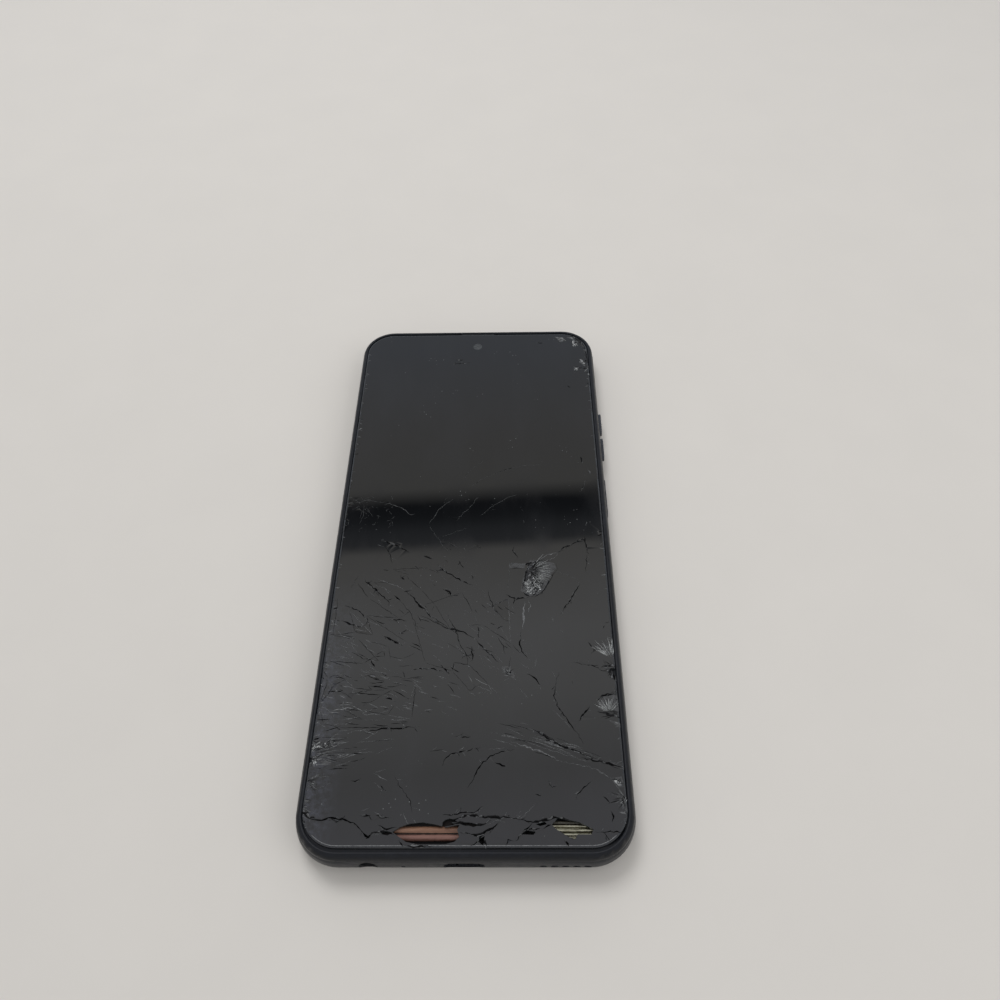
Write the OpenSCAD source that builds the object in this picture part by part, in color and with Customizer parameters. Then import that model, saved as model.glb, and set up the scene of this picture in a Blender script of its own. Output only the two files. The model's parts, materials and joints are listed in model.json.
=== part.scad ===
// Slim touchscreen phone with a shattered cover glass.
// Millimetres, +Z up out of the screen, +Y towards the earpiece end,
// origin at the middle of the flat back.

/* [Body] */
// Width across the widest part of the sides
body_w = 76; // [72:1:92]
// Length across the widest part of the ends
body_l = 166; // [150:1:200]
// Thickness from the flat back to the glass
body_t = 9; // [9:0.1:11]
// Plan radius of the outer corners
corner_r = 10.5; // [9.5:0.1:12]
// Height of the widest line of the sides
widest_z = 4.3; // [4:0.1:5]
// Thickness of the rear cover floor
floor_t = 1; // [0.8:0.05:1.1]
// Thickness of the side wall of the rear cover
wall_t = 1.5; // [1.3:0.05:1.6]

/* [Screen] */
// Thickness of the cover glass
glass_t = 0.7; // [0.55:0.05:0.8]
// Inset of the glass from the widest outline at the sides
glass_side = 2.2; // [2.15:0.05:2.6]
// Extra inset of the glass at the two ends
glass_end = 0.5; // [0.2:0.05:0.8]
// Width of the broken channels in the glass
crack_w = 0.14; // [0.1:0.01:0.25]
// Depth of the broken channels in the glass
crack_d = 0.4; // [0.2:0.05:0.5]
// Thickness of the display cell
lcd_t = 0.55; // [0.5:0.05:0.7]
// Thickness of the light unit behind the display cell
backlight_t = 1; // [0.8:0.05:1.2]

/* [Side keys] */
// Height of the key caps
key_h = 2.4; // [2:0.1:2.6]
// Length of each volume key
volume_len = 8.2; // [7:0.1:9]
// Length of the power key
power_len = 13.4; // [12:0.1:15]
// How far the volume keys stand out of the side
volume_proud = 0.6; // [0.45:0.05:0.8]
// How far the power key stands out of the side
power_proud = 0.1; // [0.05:0.05:0.5]
// Clearance round every key and round the card tray
key_gap = 0.1; // [0.06:0.01:0.15]

/* [Ports] */
// Height of the ports above the back
port_z = 4.3; // [4.2:0.05:4.4]
// Bore diameter of the headphone jack
jack_d = 3.6; // [3.5:0.02:3.64]
// Depth of the headphone jack bore
jack_depth = 14; // [13.5:0.1:15]
// Mouth width of the charging port
usb_w = 8.34; // [8.3:0.01:8.5]
// Mouth height of the charging port
usb_h = 2.56; // [2.5:0.01:2.6]
// Number of loudspeaker slots
slot_count = 5; // [3:1:5]

/* [Cells and cameras] */
// Thickness of the battery
battery_t = 4.7; // [4:0.1:4.8]
// Lens barrel diameter of the main rear camera
main_lens_d = 8.4; // [7:0.1:9]
// Lens barrel diameter of the second rear camera
second_lens_d = 6.4; // [5:0.1:7]
// Diameter of the front camera barrel
front_lens_d = 3.4; // [3:0.1:3.8]
// Width of the rear camera window
window_w = 14.8; // [12:0.1:16]
// Length of the rear camera window
window_l = 33.8; // [30:0.1:36]
// Clearance round the rear camera window
window_gap = 0.08; // [0.05:0.01:0.15]

/* [Card tray] */
// Width of the carrier that slides into the reader
card_w = 14; // [13:0.1:14.4]
// Length of the carrier
card_l = 17; // [16:0.1:17.2]
// Thickness of the carrier
card_t = 0.8; // [0.6:0.05:0.9]
// Length of the tray's face
sim_len = 17; // [16:0.1:18]
// Height of the tray's face
sim_h = 2.4; // [2:0.1:2.6]

/* [Hidden] */
hx = body_w / 2;
hy = body_l / 2;
usb_wall = 0.3;
usb_depth = 7;
// Heights of the stacked layers, from the glass down
z_glass = body_t - glass_t;
z_film = z_glass - 0.15;
z_lcd = z_film - lcd_t;
z_seam = z_lcd - backlight_t;
z_mid = z_seam - 0.4;
z_board = z_mid - 1.2;
board_t = 0.7;
z_sub = port_z - usb_h / 2 - usb_wall;
sub_t = 0.8;
// The display stops short of the lower border
lcd_low = -hy + 9.7;
lcd_high = hy - 5.5;
lcd_x = hx - 3.6;
bezel_in = 3.3;
lip_in = 2.1;
// Key and tray positions
key_z = 4.2;
volume_up_y = hy - 39;
volume_down_y = hy - 49;
power_y = hy - 67.5;
flange_x = hx - wall_t - 0.45;
flange_t = 0.4;
sim_y = hy - 31;
sim_z = z_board - 0.8;
// Port positions along the bottom end
jack_x = -hx + 17.1;
jack_y = -hy + wall_t + 0.7;
jack_z = port_z - 0.2;
mic_x = jack_x + 7.7;
grille_x = hx - corner_r - 5.6;
front_cam_y = hy - 8.1;
window_x = hx - 15.5;
window_y = hy - 21;
screw_hole = 0.65;
top_screws = [[-hx + 4.8, hy - 20.7], [-hx + 19.7, hy - 20.7], [hx - 27.6, hy - 38.8],
    [hx - 27.6, hy - 14.1], [-hx + 21, hy - 39], [-hx + 9, hy - 5.6]];
low_screws = [[-hx + 6, -hy + 20], [hx - 27.8, -hy + 21], [8.2, -hy + 4.8], [-8, -hy + 8]];
screw_z = z_sub - sub_t;
screw_len = z_mid - screw_z - 0.08;
// Cracks are drawn by hand for the nominal glass and stretch with the body
crack_sx = body_w / 76;
crack_sy = body_l / 166;
function ray(focus, angle, length) = [focus, focus + length * [cos(angle), sin(angle)]];
// Fan of straight cracks from one struck point, alternately long and short
function fan(focus, first, step, count, length) =
    [for (i = [0 : count - 1]) ray(focus, first + i * step, length * (i % 2 == 0 ? 1 : 0.6))];
impact = [[14, -9], [22, -6], [22, -11], [19, -18], [15, -19], [13, -16]];
cracks = concat(
    [
        [[10, -9], [14, -9], [22, -6], [30, -2], [30, -8]],
        [[-34, 12], [-25, 10], [-16, 7]],
        [[-12, 4], [-4, 15], [4, 27]],
        [[-2, 17], [8, 20], [22, 25]],
        [[-24, -2], [-17, -5], [-6, -11], [0, -15]],
        [[-28, -13], [-24, -17], [-21, -21]],
        [[-33, -21], [-26, -25], [-30, -26]],
        [[-36, -33], [-28, -29], [-22, -30], [-17, -33]],
        [[-4, -26], [1, -29], [7, -37], [10, -40]],
        [[14, -40], [20, -47], [28, -58]],
        [[14, -20], [13, -30], [15, -36]],
        [[28, -16], [23, -24]],
        [[25, -37], [30, -40], [36, -41]],
        [[3, -56], [13, -57], [22, -59], [28, -63], [36, -65]],
        [[2, -59], [-6, -60]],
        [[8, -59], [2, -65]],
        [[28, -65], [24, -70]],
        [[15, -69], [17, -70], [18, -66], [20, -67]],
    ],
    fan([-36, -60], -30, 24, 5, 19),
    fan([36, -37], 130, 18, 4, 8)
);
// Cracks of the lower border keep their distance from the bottom end
low_cracks = [
    [[-36, 10], [-25, 8], [-21, 5], [-20, 6], [-15, 6]],
    [[-4, 7], [-3, 10], [4, 12]],
    [[1, 10], [14, 9], [17, 7], [21, 9]],
    [[-1, 6], [4, 7], [9, 9]],
    [[9, 9], [8, 5], [4, 3]],
    [[28, 7], [31, 6], [35, 6]],
    [[31, 6], [32, 4]],
];
copper_gap = [[-15, 6], [-12, 8], [-4, 7], [-1, 7.5], [-1, 4.5], [-3, 4], [-12, 4], [-14, 4.5]];
strip_gap = [[19, 7.5], [21, 9], [28, 6.5], [27.5, 5.5], [24, 4.5], [20, 6.5]];
edge_gaps = [
    [[32, -36], [36.5, -36], [36.5, -40], [33, -39]],
    [[33.5, -45], [36.5, -44], [36.5, -50], [34, -50]],
    [[-36.5, -57], [-34.5, -58], [-34.5, -62], [-36.5, -63]],
];
$fn = 48;

// Flat outlines

// Rectangle with round corners
module rounded(w, l, r) {
    square([w, l - 2 * r], center = true);
    square([w - 2 * r, l], center = true);
    for (x = [-1, 1], y = [-1, 1])
        translate([x * (w / 2 - r), y * (l / 2 - r)])
            circle(r);
}

// Slot outline with half-round ends, long along X
module pill(w, h) {
    square([w - h, h], center = true);
    for (x = [-1, 1])
        translate([x * (w - h) / 2, 0])
            circle(h / 2);
}

// One straight channel between two points
module stroke(a, b, w) {
    d = b - a;
    translate(a)
        rotate(atan2(d[1], d[0]))
            translate([-w / 2, -w / 2])
                square([norm(d) + w, w]);
}

// A broken line through several points; every second stroke is a little narrower
module broken_line(line, w) {
    for (i = [1 : len(line) - 1])
        stroke(line[i - 1], line[i], i % 2 == 0 ? 0.8 * w : w);
}

// Solid helpers

// Plate that follows the body outline at an inset
module slab(inset, z0, z1, end = 0) {
    translate([0, 0, z0])
        linear_extrude(z1 - z0)
            rounded(2 * (hx - inset), 2 * (hy - inset - end), corner_r - inset);
}

// Plate drawn from any flat outline between two heights
module layer(z0, z1) {
    translate([0, 0, z0])
        linear_extrude(z1 - z0)
            children();
}

// Wall section swept round the body; points are [inset, height]
module rim(section) {
    r = corner_r;
    points = [for (p = section) [r - p[0], p[1]]];
    for (turn = [0, 180])
        rotate(turn) {
            translate([hx - r, hy - r, 0])
                rotate([90, 0, 0])
                    linear_extrude(2 * (hy - r))
                        polygon(points);
            translate([-(hx - r), hy - r, 0])
                rotate([90, 0, 90])
                    linear_extrude(2 * (hx - r))
                        polygon(points);
            translate([hx - r, hy - r, 0])
                rotate_extrude(angle = 90)
                    polygon(points);
            translate([-(hx - r), hy - r, 0])
                rotate(90)
                    rotate_extrude(angle = 90)
                        polygon(points);
        }
}

// Prism along X of an outline drawn in the YZ plane
module along_x(x0, x1, y, z) {
    translate([x0, y, z])
        rotate([90, 0, 90])
            linear_extrude(x1 - x0)
                children();
}

// Prism along Y of an outline drawn in the XZ plane
module along_y(y0, y1, x, z) {
    translate([x, y1, z])
        rotate([90, 0, 0])
            linear_extrude(y1 - y0)
                children();
}

// Box given by its two far corners
module box(a, b) {
    translate(a)
        cube(b - a);
}

// Screen

// Nominal crack points stretched to the body
function stretched(line) = [for (p = line) [p[0] * crack_sx, p[1] * crack_sy]];

// Lower border points measured up from the bottom end
function raised(line) = [for (p = line) [p[0] * crack_sx, p[1] - hy]];

module cover_glass() {
    color("#3a3b3d")
        difference() {
            slab(glass_side, z_glass, body_t, glass_end);
            layer(body_t - crack_d, body_t + 1) {
                for (line = cracks)
                    broken_line(stretched(line), crack_w);
                for (line = low_cracks)
                    broken_line(raised(line), crack_w);
            }
            layer(body_t - 0.25, body_t + 1)
                polygon(stretched(impact));
            layer(z_glass - 1, body_t + 1)
                for (gap = [copper_gap, strip_gap])
                    polygon(raised(gap));
            layer(body_t - 0.5, body_t + 1)
                for (gap = edge_gaps)
                    polygon(stretched(gap));
        }
}

module display_outline(inset) {
    difference() {
        translate([0, (lcd_low + lcd_high) / 2])
            rounded(2 * (lcd_x - inset), lcd_high - lcd_low - 2 * inset, corner_r - 6.5);
        translate([0, front_cam_y])
            circle(front_lens_d / 2 + 0.5);
    }
}

module bonding_film() {
    color("#2a2b2e")
        layer(z_film, z_glass)
            display_outline(0.3);
}

module lcd_panel() {
    color("#1f2124") {
        layer(z_lcd, z_film)
            display_outline(0);
        box([-20, lcd_low - 1.2, z_lcd], [6, lcd_low + 0.4, z_lcd + 0.25]);
    }
}

module backlight_unit() {
    color("#17181a")
        layer(z_seam, z_lcd)
            display_outline(0.2);
}

// Film bonded to the lower display ledge, rolled under and led to the small board
module display_flex() {
    film_t = 0.15;
    top = z_lcd + 0.25 + film_t;
    low = z_seam + 0.05;
    r = (top - low) / 2;
    roll_y = -hy + 5.4;
    tail_y = -hy + 7.8;
    color("#8a5a44") {
        box([-19, roll_y, top - film_t], [4, lcd_low - 0.1, top]);
        box([-19, roll_y, low], [4, tail_y + film_t, low + film_t]);
        difference() {
            along_x(-19, 4, roll_y, low + r)
                circle(r);
            along_x(-20, 5, roll_y, low + r)
                circle(r - film_t);
            box([-20, roll_y, low - 1], [5, roll_y + 2, top + 1]);
        }
        box([mic_x - 2.4, tail_y, z_sub], [mic_x + 2.4, tail_y + film_t, low + film_t]);
        box([mic_x - 2.4, tail_y - 1.2, z_sub], [mic_x + 2.4, tail_y, z_sub + 0.8]);
    }
}

// Ribbed metal contact strip folded round one edge
module ground_strip() {
    x0 = hx - 24;
    x1 = hx - corner_r + 3;
    y0 = -hy + 4.4;
    y1 = -hy + 9;
    top = z_lcd + 0.15;
    color("#b9b08c") {
        box([x0, y0 + 1, z_seam], [x1, y1, z_seam + 0.2]);
        box([x0, y1 - 0.2, z_seam], [x1, y1, top]);
        box([x0, y0, top - 0.15], [x1, y1, top]);
        for (i = [0 : 4])
            along_x(x0, x1, y0 + 0.4 + i * 0.9, top)
                circle(0.22);
    }
}

// Housing

// Upper rim of the housing that holds the glass
module front_bezel() {
    color("#23252e")
        difference() {
            rim([[0.45, z_seam], [0.62, body_t - 1.4], [1.15, body_t - 0.4],
                [1.5, body_t - 0.15], [lip_in, body_t - 0.15], [lip_in, z_glass],
                [bezel_in, z_glass], [bezel_in, z_seam]]);
            // Sound slot of the earpiece
            box([-5.5, hy - lip_in - 0.35, z_seam - 1], [5.5, hy - lip_in + 0.1, body_t]);
            // Gouges of the two upper corners
            translate([hx - 2.6, hy - 3.4, body_t])
                rotate([0, 0, -38])
                    cube([2.4, 1.5, 1.2], center = true);
            translate([-hx + 2.9, hy - 3.1, body_t])
                rotate([0, 0, 45])
                    cube([1.5, 1, 0.9], center = true);
        }
}

// Metal plate between the display and the working parts
module mid_plate() {
    color("#8f9296")
        difference() {
            union() {
                slab(wall_t + 0.1, z_mid, z_seam);
                for (p = top_screws)
                    translate([p[0], p[1], z_board + board_t])
                        cylinder(r = 1.5, h = z_mid - z_board - board_t);
                for (p = low_screws)
                    translate([p[0], p[1], z_sub])
                        cylinder(r = 1.6, h = z_mid - z_sub);
                box([hx - 3.6, power_y - 7, 2.9], [hx - 2.95, volume_up_y + 2.3, z_mid]);
            }
            for (p = top_screws)
                translate([p[0], p[1], z_board])
                    cylinder(r = screw_hole, h = z_seam - 0.1 - z_board);
            for (p = low_screws)
                translate([p[0], p[1], z_sub - 1])
                    cylinder(r = screw_hole, h = z_seam - 0.1 - z_sub + 1);
            box([-3.3, front_cam_y - 3.3, z_mid - 1], [3.3, front_cam_y + 3.3, z_seam + 1]);
            box([jack_x - 3.3, -hy, z_mid - 1], [jack_x + 3.3, jack_y + jack_depth, z_seam + 1]);
            box([mic_x - 2.7, -hy + 7.5, z_mid - 1], [mic_x + 2.7, -hy + 8.3, z_seam + 1]);
        }
}

// Rear cover with its curved side wall
module rear_cover() {
    color("#1d2029")
        difference() {
            union() {
                rim([[0.45, z_seam], [0.12, widest_z + 1], [0, widest_z + 0.2], [0, widest_z - 0.4],
                    [0.12, 3], [0.5, 2], [1.3, 1], [2.6, 0.3], [4.2, 0], [corner_r, 0],
                    [corner_r, floor_t], [wall_t + 1.7, floor_t], [wall_t + 0.6, floor_t + 0.8],
                    [wall_t, floor_t + 1.6], [wall_t, z_seam]]);
                box([-hx + corner_r, -hy + corner_r, 0], [hx - corner_r, hy - corner_r, floor_t]);
                layer(floor_t, floor_t + 0.4)
                    translate([window_x, window_y])
                        rounded(window_w + 3.2, window_l + 3.2, 5);
            }
            // Camera window recess and its opening
            layer(-1, 0.9)
                translate([window_x, window_y])
                    rounded(window_w + 2 * window_gap, window_l + 2 * window_gap, 4);
            layer(0.5, floor_t + 1)
                translate([window_x, window_y])
                    rounded(window_w - 2.2, window_l - 2.2, 3);
            // Side keys and card tray
            along_x(hx - 3, hx + 1, volume_up_y, key_z)
                pill(volume_len + 2 * key_gap, key_h + 2 * key_gap);
            along_x(hx - 3, hx + 1, volume_down_y, key_z)
                pill(volume_len + 2 * key_gap, key_h + 2 * key_gap);
            along_x(hx - 3, hx + 1, power_y, key_z)
                pill(power_len + 2 * key_gap, key_h + 2 * key_gap);
            along_x(-hx - 1, -hx + 3, sim_y, sim_z)
                pill(sim_len + 2 * key_gap, sim_h + 2 * key_gap);
            // Ports of the bottom end
            along_y(-hy - 1, -hy + 3, 0, port_z)
                pill(usb_w + 2 * usb_wall + 0.12, usb_h + 2 * usb_wall + 0.12);
            along_y(-hy - 1, -hy + 3, jack_x, jack_z)
                circle(jack_d / 2 + 0.36);
            along_y(-hy - 1, -hy + 3, mic_x, port_z)
                circle(0.5);
            for (i = [0 : slot_count - 1])
                along_y(-hy - 1, -hy + 3, grille_x + (i - (slot_count - 1) / 2) * 2.4, port_z)
                    pill(1.7, 1.2);
        }
}

// Cameras

module camera_window() {
    color("#101114")
        layer(0.1, 0.9)
            translate([window_x, window_y])
                rounded(window_w, window_l, 4 - window_gap);
}

// Rear camera: lens barrel towards the window, square body on the mid plate
module rear_camera(y, lens_d, body) {
    barrel_top = 2.4;
    difference() {
        union() {
            translate([window_x, y, 0.95])
                cylinder(d = lens_d, h = barrel_top - 0.95);
            box([window_x - body / 2, y - body / 2, barrel_top],
                [window_x + body / 2, y + body / 2, z_mid]);
        }
        translate([window_x, y, 0])
            cylinder(d = lens_d * 0.55, h = 1.5);
    }
}

module rear_camera_main() {
    color("#16171b")
        rear_camera(hy - 12.5, main_lens_d, 9.8);
}

module rear_camera_second() {
    color("#16171b")
        rear_camera(hy - 23.5, second_lens_d, 8.4);
}

module flash_led() {
    color("#e8dcae") {
        translate([window_x, hy - 33, 0.9])
            cylinder(d = 2.6, h = 0.4);
        translate([window_x, hy - 33, 1.55])
            cube([3.4, 3.4, 0.5], center = true);
    }
}

// Front camera: barrel up through the display
module front_camera() {
    color("#0c0d10")
        difference() {
            union() {
                translate([0, front_cam_y, z_seam - 0.2])
                    cylinder(d = front_lens_d, h = z_glass - 0.1 - z_seam + 0.2);
                box([-3, front_cam_y - 3, z_mid - 2.6], [3, front_cam_y + 3, z_seam - 0.1]);
            }
            translate([0, front_cam_y, z_glass - 0.6])
                cylinder(d = front_lens_d * 0.5, h = 1);
        }
}

// Sound

module earpiece_speaker() {
    color("#26272b")
        box([-17.2, hy - 8.5, z_mid - 2.5], [-4.6, hy - 2.6, z_mid]);
}

module earpiece_mesh() {
    color("#2c2d31")
        box([-5.4, hy - lip_in - 0.3, z_seam], [5.4, hy - lip_in, z_glass + 0.35]);
}

module microphone() {
    color("#1a1a1c")
        difference() {
            box([mic_x - 2, -hy + wall_t + 0.05, z_sub], [mic_x + 2, -hy + 5, z_sub + 2.5]);
            along_y(-hy, -hy + 4, mic_x, port_z)
                circle(0.5);
        }
}

module speaker_module() {
    color("#202226")
        difference() {
            union() {
                layer(2, z_mid)
                    polygon([[hx - 25, -hy + 2.3], [hx - corner_r + 1.5, -hy + 2.3],
                        [hx - 4, -hy + corner_r - 2],
                        [hx - 4, -hy + 31], [hx - 25, -hy + 31]]);
                box([grille_x - 6.2, -hy + 1.8, port_z - 1.1],
                    [grille_x + 6.2, -hy + 2.4, port_z + 1.1]);
            }
            box([grille_x - 5.6, -hy + 1, port_z - 0.6], [grille_x + 5.6, -hy + 8, port_z + 0.6]);
        }
}

module speaker_mesh() {
    color("#3c3e44")
        box([grille_x - 6, -hy + wall_t + 0.05, port_z - 1.2],
            [grille_x + 6, -hy + 1.8, port_z + 1.2]);
}

module vibration_motor() {
    color("#a7a9ad")
        translate([-hx + 9, -hy + 10, z_mid - 3])
            cylinder(r = 4, h = 3);
}

// Boards

module board_outline() {
    polygon([[-hx + 3, hy - 40.5], [hx - 26, hy - 40.5], [hx - 26, hy - 12.5],
        [-hx + 19.5, hy - 12.5], [-hx + 19.5, hy - 4], [-hx + 8.5, hy - 4],
        [-hx + 3, hy - 10.5]]);
}

module main_board() {
    color("#1f4a3a")
        difference() {
            layer(z_board, z_board + board_t)
                board_outline();
            for (p = top_screws)
                translate([p[0], p[1], z_board - 1])
                    cylinder(r = screw_hole, h = 3);
        }
}

module processor_shield() {
    color("#b4b6ba")
        box([-hx + 22.6, hy - 38.5, z_board - 1.7], [hx - 29.4, hy - 15, z_board]);
}

module radio_shield() {
    color("#b4b6ba")
        box([-hx + 5.6, hy - 18.5, z_board - 1.7], [-hx + 17, hy - 9, z_board]);
}

// Metal cage that the card tray slides into
module sim_reader() {
    color("#aeb0b4")
        difference() {
            box([-hx + 1.9, sim_y - card_w / 2 - 1.3, sim_z - 1],
                [-hx + 2.4 + card_l, sim_y + card_w / 2 + 1.3, z_board]);
            box([-hx, sim_y - card_w / 2 - 0.4, sim_z - card_t / 2 - key_gap],
                [-hx + 1.9 + card_l, sim_y + card_w / 2 + 0.4, sim_z + card_t / 2 + key_gap]);
        }
}

module sim_tray() {
    color("#1d2029")
        difference() {
            union() {
                along_x(-hx + 0.05, -hx + 1.4, sim_y, sim_z)
                    pill(sim_len, sim_h);
                box([-hx + 1.4, sim_y - card_w / 2, sim_z - card_t / 2],
                    [-hx + 1.4 + card_l, sim_y + card_w / 2, sim_z + card_t / 2]);
            }
            // Card pocket and the hole for the eject pin
            box([-hx + 3.6, sim_y - 5.6, sim_z - card_t / 2 + 0.1],
                [-hx + 16.4, sim_y + 3.4, sim_z + 1]);
            along_x(-hx - 1, -hx + 2.4, sim_y + 7.2, sim_z)
                circle(0.45);
        }
}

// Plastic bracket over the main board with a pillar at every screw
module top_bracket() {
    z0 = screw_z - 0.6;
    color("#24262b")
        difference() {
            union() {
                layer(z0, z0 + 1)
                    board_outline();
                for (p = top_screws)
                    translate([p[0], p[1], z0])
                        cylinder(r = 1.3, h = z_board - z0);
            }
            for (p = top_screws) {
                translate([p[0], p[1], z0 - 1])
                    cylinder(r = screw_hole, h = body_t);
                translate([p[0], p[1], z0 - 1])
                    cylinder(r = 1.2, h = 1.6);
            }
        }
}

module case_screws() {
    color("#9a9ca0")
        for (p = concat(top_screws, low_screws))
            translate([p[0], p[1], screw_z - 0.5])
                difference() {
                    union() {
                        cylinder(r = 1.1, h = 0.5);
                        cylinder(r = 0.6, h = 0.5 + screw_len);
                    }
                    translate([0, 0, -0.1])
                        cylinder(r = 0.4, h = 0.35, $fn = 6);
                }
}

module sub_board() {
    color("#1f4a3a")
        difference() {
            layer(z_sub - sub_t, z_sub)
                polygon([[jack_x + 4.1, -hy + 2.8], [hx - 26, -hy + 2.8], [hx - 26, -hy + 23],
                    [-hx + 4, -hy + 23], [-hx + 4, -hy + 17], [jack_x + 4.1, -hy + 17]]);
            for (p = low_screws)
                translate([p[0], p[1], z_sub - 3])
                    cylinder(r = screw_hole, h = 5);
        }
}

// Ports

module usb_c_shell() {
    y0 = -hy + 0.6;
    color("#9c9ea3")
        difference() {
            along_y(y0, y0 + usb_depth, 0, port_z)
                pill(usb_w + 2 * usb_wall, usb_h + 2 * usb_wall);
            along_y(y0 - 1, y0 + usb_depth - 0.8, 0, port_z)
                pill(usb_w, usb_h);
        }
}

module usb_c_tongue() {
    y0 = -hy + 1.4;
    color("#15161a")
        box([-3.3, y0, port_z - 0.35], [3.3, -hy + 0.6 + usb_depth - 0.8, port_z + 0.35]);
}

// Headphone socket: nose in the wall, plain bore for the plug
module headphone_jack() {
    color("#18191c")
        difference() {
            union() {
                along_y(-hy + 0.5, jack_y + 1, jack_x, jack_z)
                    circle(jack_d / 2 + 0.3);
                box([jack_x - 3, jack_y, 2], [jack_x + 3, -hy + 1 + jack_depth, z_seam - 0.05]);
            }
            along_y(-hy - 1, -hy + 0.5 + jack_depth, jack_x, jack_z)
                circle(jack_d / 2);
        }
}

// Power and flexible circuits

module battery() {
    color("#2b2d33")
        box([-hx + 5.5, -hy + 38, z_mid - battery_t], [hx - 10.5, hy - 45, z_mid]);
}

module battery_flex() {
    color("#b07a3a")
        box([1, hy - 45, z_board - 0.4], [7, hy - 39, z_board]);
}

// Strip from the small board, across the battery, to the main board
module main_flex() {
    z0 = z_mid - battery_t - 0.15;
    color("#b07a3a") {
        box([-12, -hy + 23.2, z0], [-3, hy - 43, z0 + 0.15]);
        box([-12, -hy + 23.2, min(z0, z_sub)], [-3, -hy + 23.35, max(z0 + 0.15, z_sub + 0.3)]);
        box([-12, -hy + 20, z_sub], [-3, -hy + 23.35, z_sub + 0.3]);
        box([-12, hy - 43, z0], [-3, hy - 42.85, z_board]);
        box([-12, hy - 43, z_board - 0.3], [-3, hy - 39, z_board]);
    }
}

// Vertical strip with one dome switch behind each key
module side_key_flex() {
    color("#b07a3a") {
        box([hx - 2.95, power_y - 7, 2.9], [hx - 2.75, volume_up_y + 3, z_mid]);
        for (y = [volume_up_y, volume_down_y, power_y])
            along_x(hx - 2.75, hx - 2.42, y, key_z)
                circle(1.1);
        box([hx - 26.2, volume_up_y + 2.4, z_mid - 0.15], [hx - 2.75, volume_up_y + 3, z_mid]);
        box([hx - 28, volume_up_y + 2.4, z_board + board_t], [hx - 26.05, volume_up_y + 3, z_mid]);
    }
}

// Keys

// Cap through the wall with a wider flange behind it
module side_key(y, length, proud) {
    along_x(flange_x, hx + proud, y, key_z)
        pill(length, key_h);
    along_x(flange_x, flange_x + flange_t, y, key_z)
        pill(length + 1, key_h + 0.7);
}

module volume_up_key() {
    color("#23252e")
        side_key(volume_up_y, volume_len, volume_proud);
}

module volume_down_key() {
    color("#23252e")
        side_key(volume_down_y, volume_len, volume_proud);
}

module power_key() {
    color("#23252e")
        side_key(power_y, power_len, power_proud);
}

cover_glass();
bonding_film();
lcd_panel();
backlight_unit();
display_flex();
ground_strip();
front_bezel();
mid_plate();
rear_cover();
camera_window();
rear_camera_main();
rear_camera_second();
flash_led();
front_camera();
earpiece_speaker();
earpiece_mesh();
main_board();
processor_shield();
radio_shield();
sim_reader();
sim_tray();
top_bracket();
case_screws();
sub_board();
usb_c_shell();
usb_c_tongue();
headphone_jack();
microphone();
speaker_module();
speaker_mesh();
vibration_motor();
battery();
battery_flex();
main_flex();
side_key_flex();
volume_up_key();
volume_down_key();
power_key();
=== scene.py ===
"""Shattered screen phone: looks and studio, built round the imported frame.

Everything is in metres in the frame's own axes: the phone lies on its flat back,
its glass faces up, +Y is its upper end and +X the side with the keys.
Plans of the cracks are written in millimetres and turned to metres in one place.
"""

from __future__ import annotations

import json
import logging
import math
import random
from dataclasses import dataclass, field, replace
from enum import Enum, IntEnum
from typing import Callable, Iterable, Sequence

import bpy
from mathutils import Matrix, Vector
from mathutils.geometry import delaunay_2d_cdt

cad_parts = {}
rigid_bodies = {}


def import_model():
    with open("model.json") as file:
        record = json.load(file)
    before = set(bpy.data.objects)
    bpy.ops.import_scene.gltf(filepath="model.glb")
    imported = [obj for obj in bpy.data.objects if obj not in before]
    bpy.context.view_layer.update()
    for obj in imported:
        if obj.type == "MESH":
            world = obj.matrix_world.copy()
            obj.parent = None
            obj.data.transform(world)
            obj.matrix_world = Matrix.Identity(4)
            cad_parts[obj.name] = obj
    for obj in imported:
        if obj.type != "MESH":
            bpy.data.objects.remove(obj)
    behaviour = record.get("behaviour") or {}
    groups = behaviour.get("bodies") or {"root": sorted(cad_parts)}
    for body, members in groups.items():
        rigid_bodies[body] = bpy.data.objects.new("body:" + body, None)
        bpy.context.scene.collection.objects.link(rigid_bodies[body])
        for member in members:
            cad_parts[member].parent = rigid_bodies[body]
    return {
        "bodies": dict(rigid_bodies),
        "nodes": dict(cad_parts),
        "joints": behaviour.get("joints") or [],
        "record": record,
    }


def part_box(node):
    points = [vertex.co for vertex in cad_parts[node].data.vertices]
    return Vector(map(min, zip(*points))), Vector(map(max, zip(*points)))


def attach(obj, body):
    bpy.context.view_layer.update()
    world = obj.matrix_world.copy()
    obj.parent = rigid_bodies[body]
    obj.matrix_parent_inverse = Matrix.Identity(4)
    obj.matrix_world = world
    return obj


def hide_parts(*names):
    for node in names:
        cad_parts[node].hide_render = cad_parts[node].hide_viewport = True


LOG = logging.getLogger("shattered_phone")
MM = 0.001
Point = tuple[float, float]
Line = tuple[Point, ...]
Box = tuple[float, float, float, float]


# ---------------------------------------------------------------- colour and nodes
def linear(code: str) -> tuple[float, float, float, float]:
    """Turns an sRGB hex colour into the linear colour that shaders work in.

    Args:
        code: six hex digits, with or without a leading #.

    Returns:
        Red, green, blue and an alpha of 1.
    """
    digits = code.lstrip("#")
    parts = [int(digits[i:i + 2], 16) / 255 for i in (0, 2, 4)]
    made = [c / 12.92 if c <= 0.04045 else ((c + 0.055) / 1.055) ** 2.4 for c in parts]
    return made[0], made[1], made[2], 1.0


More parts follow.
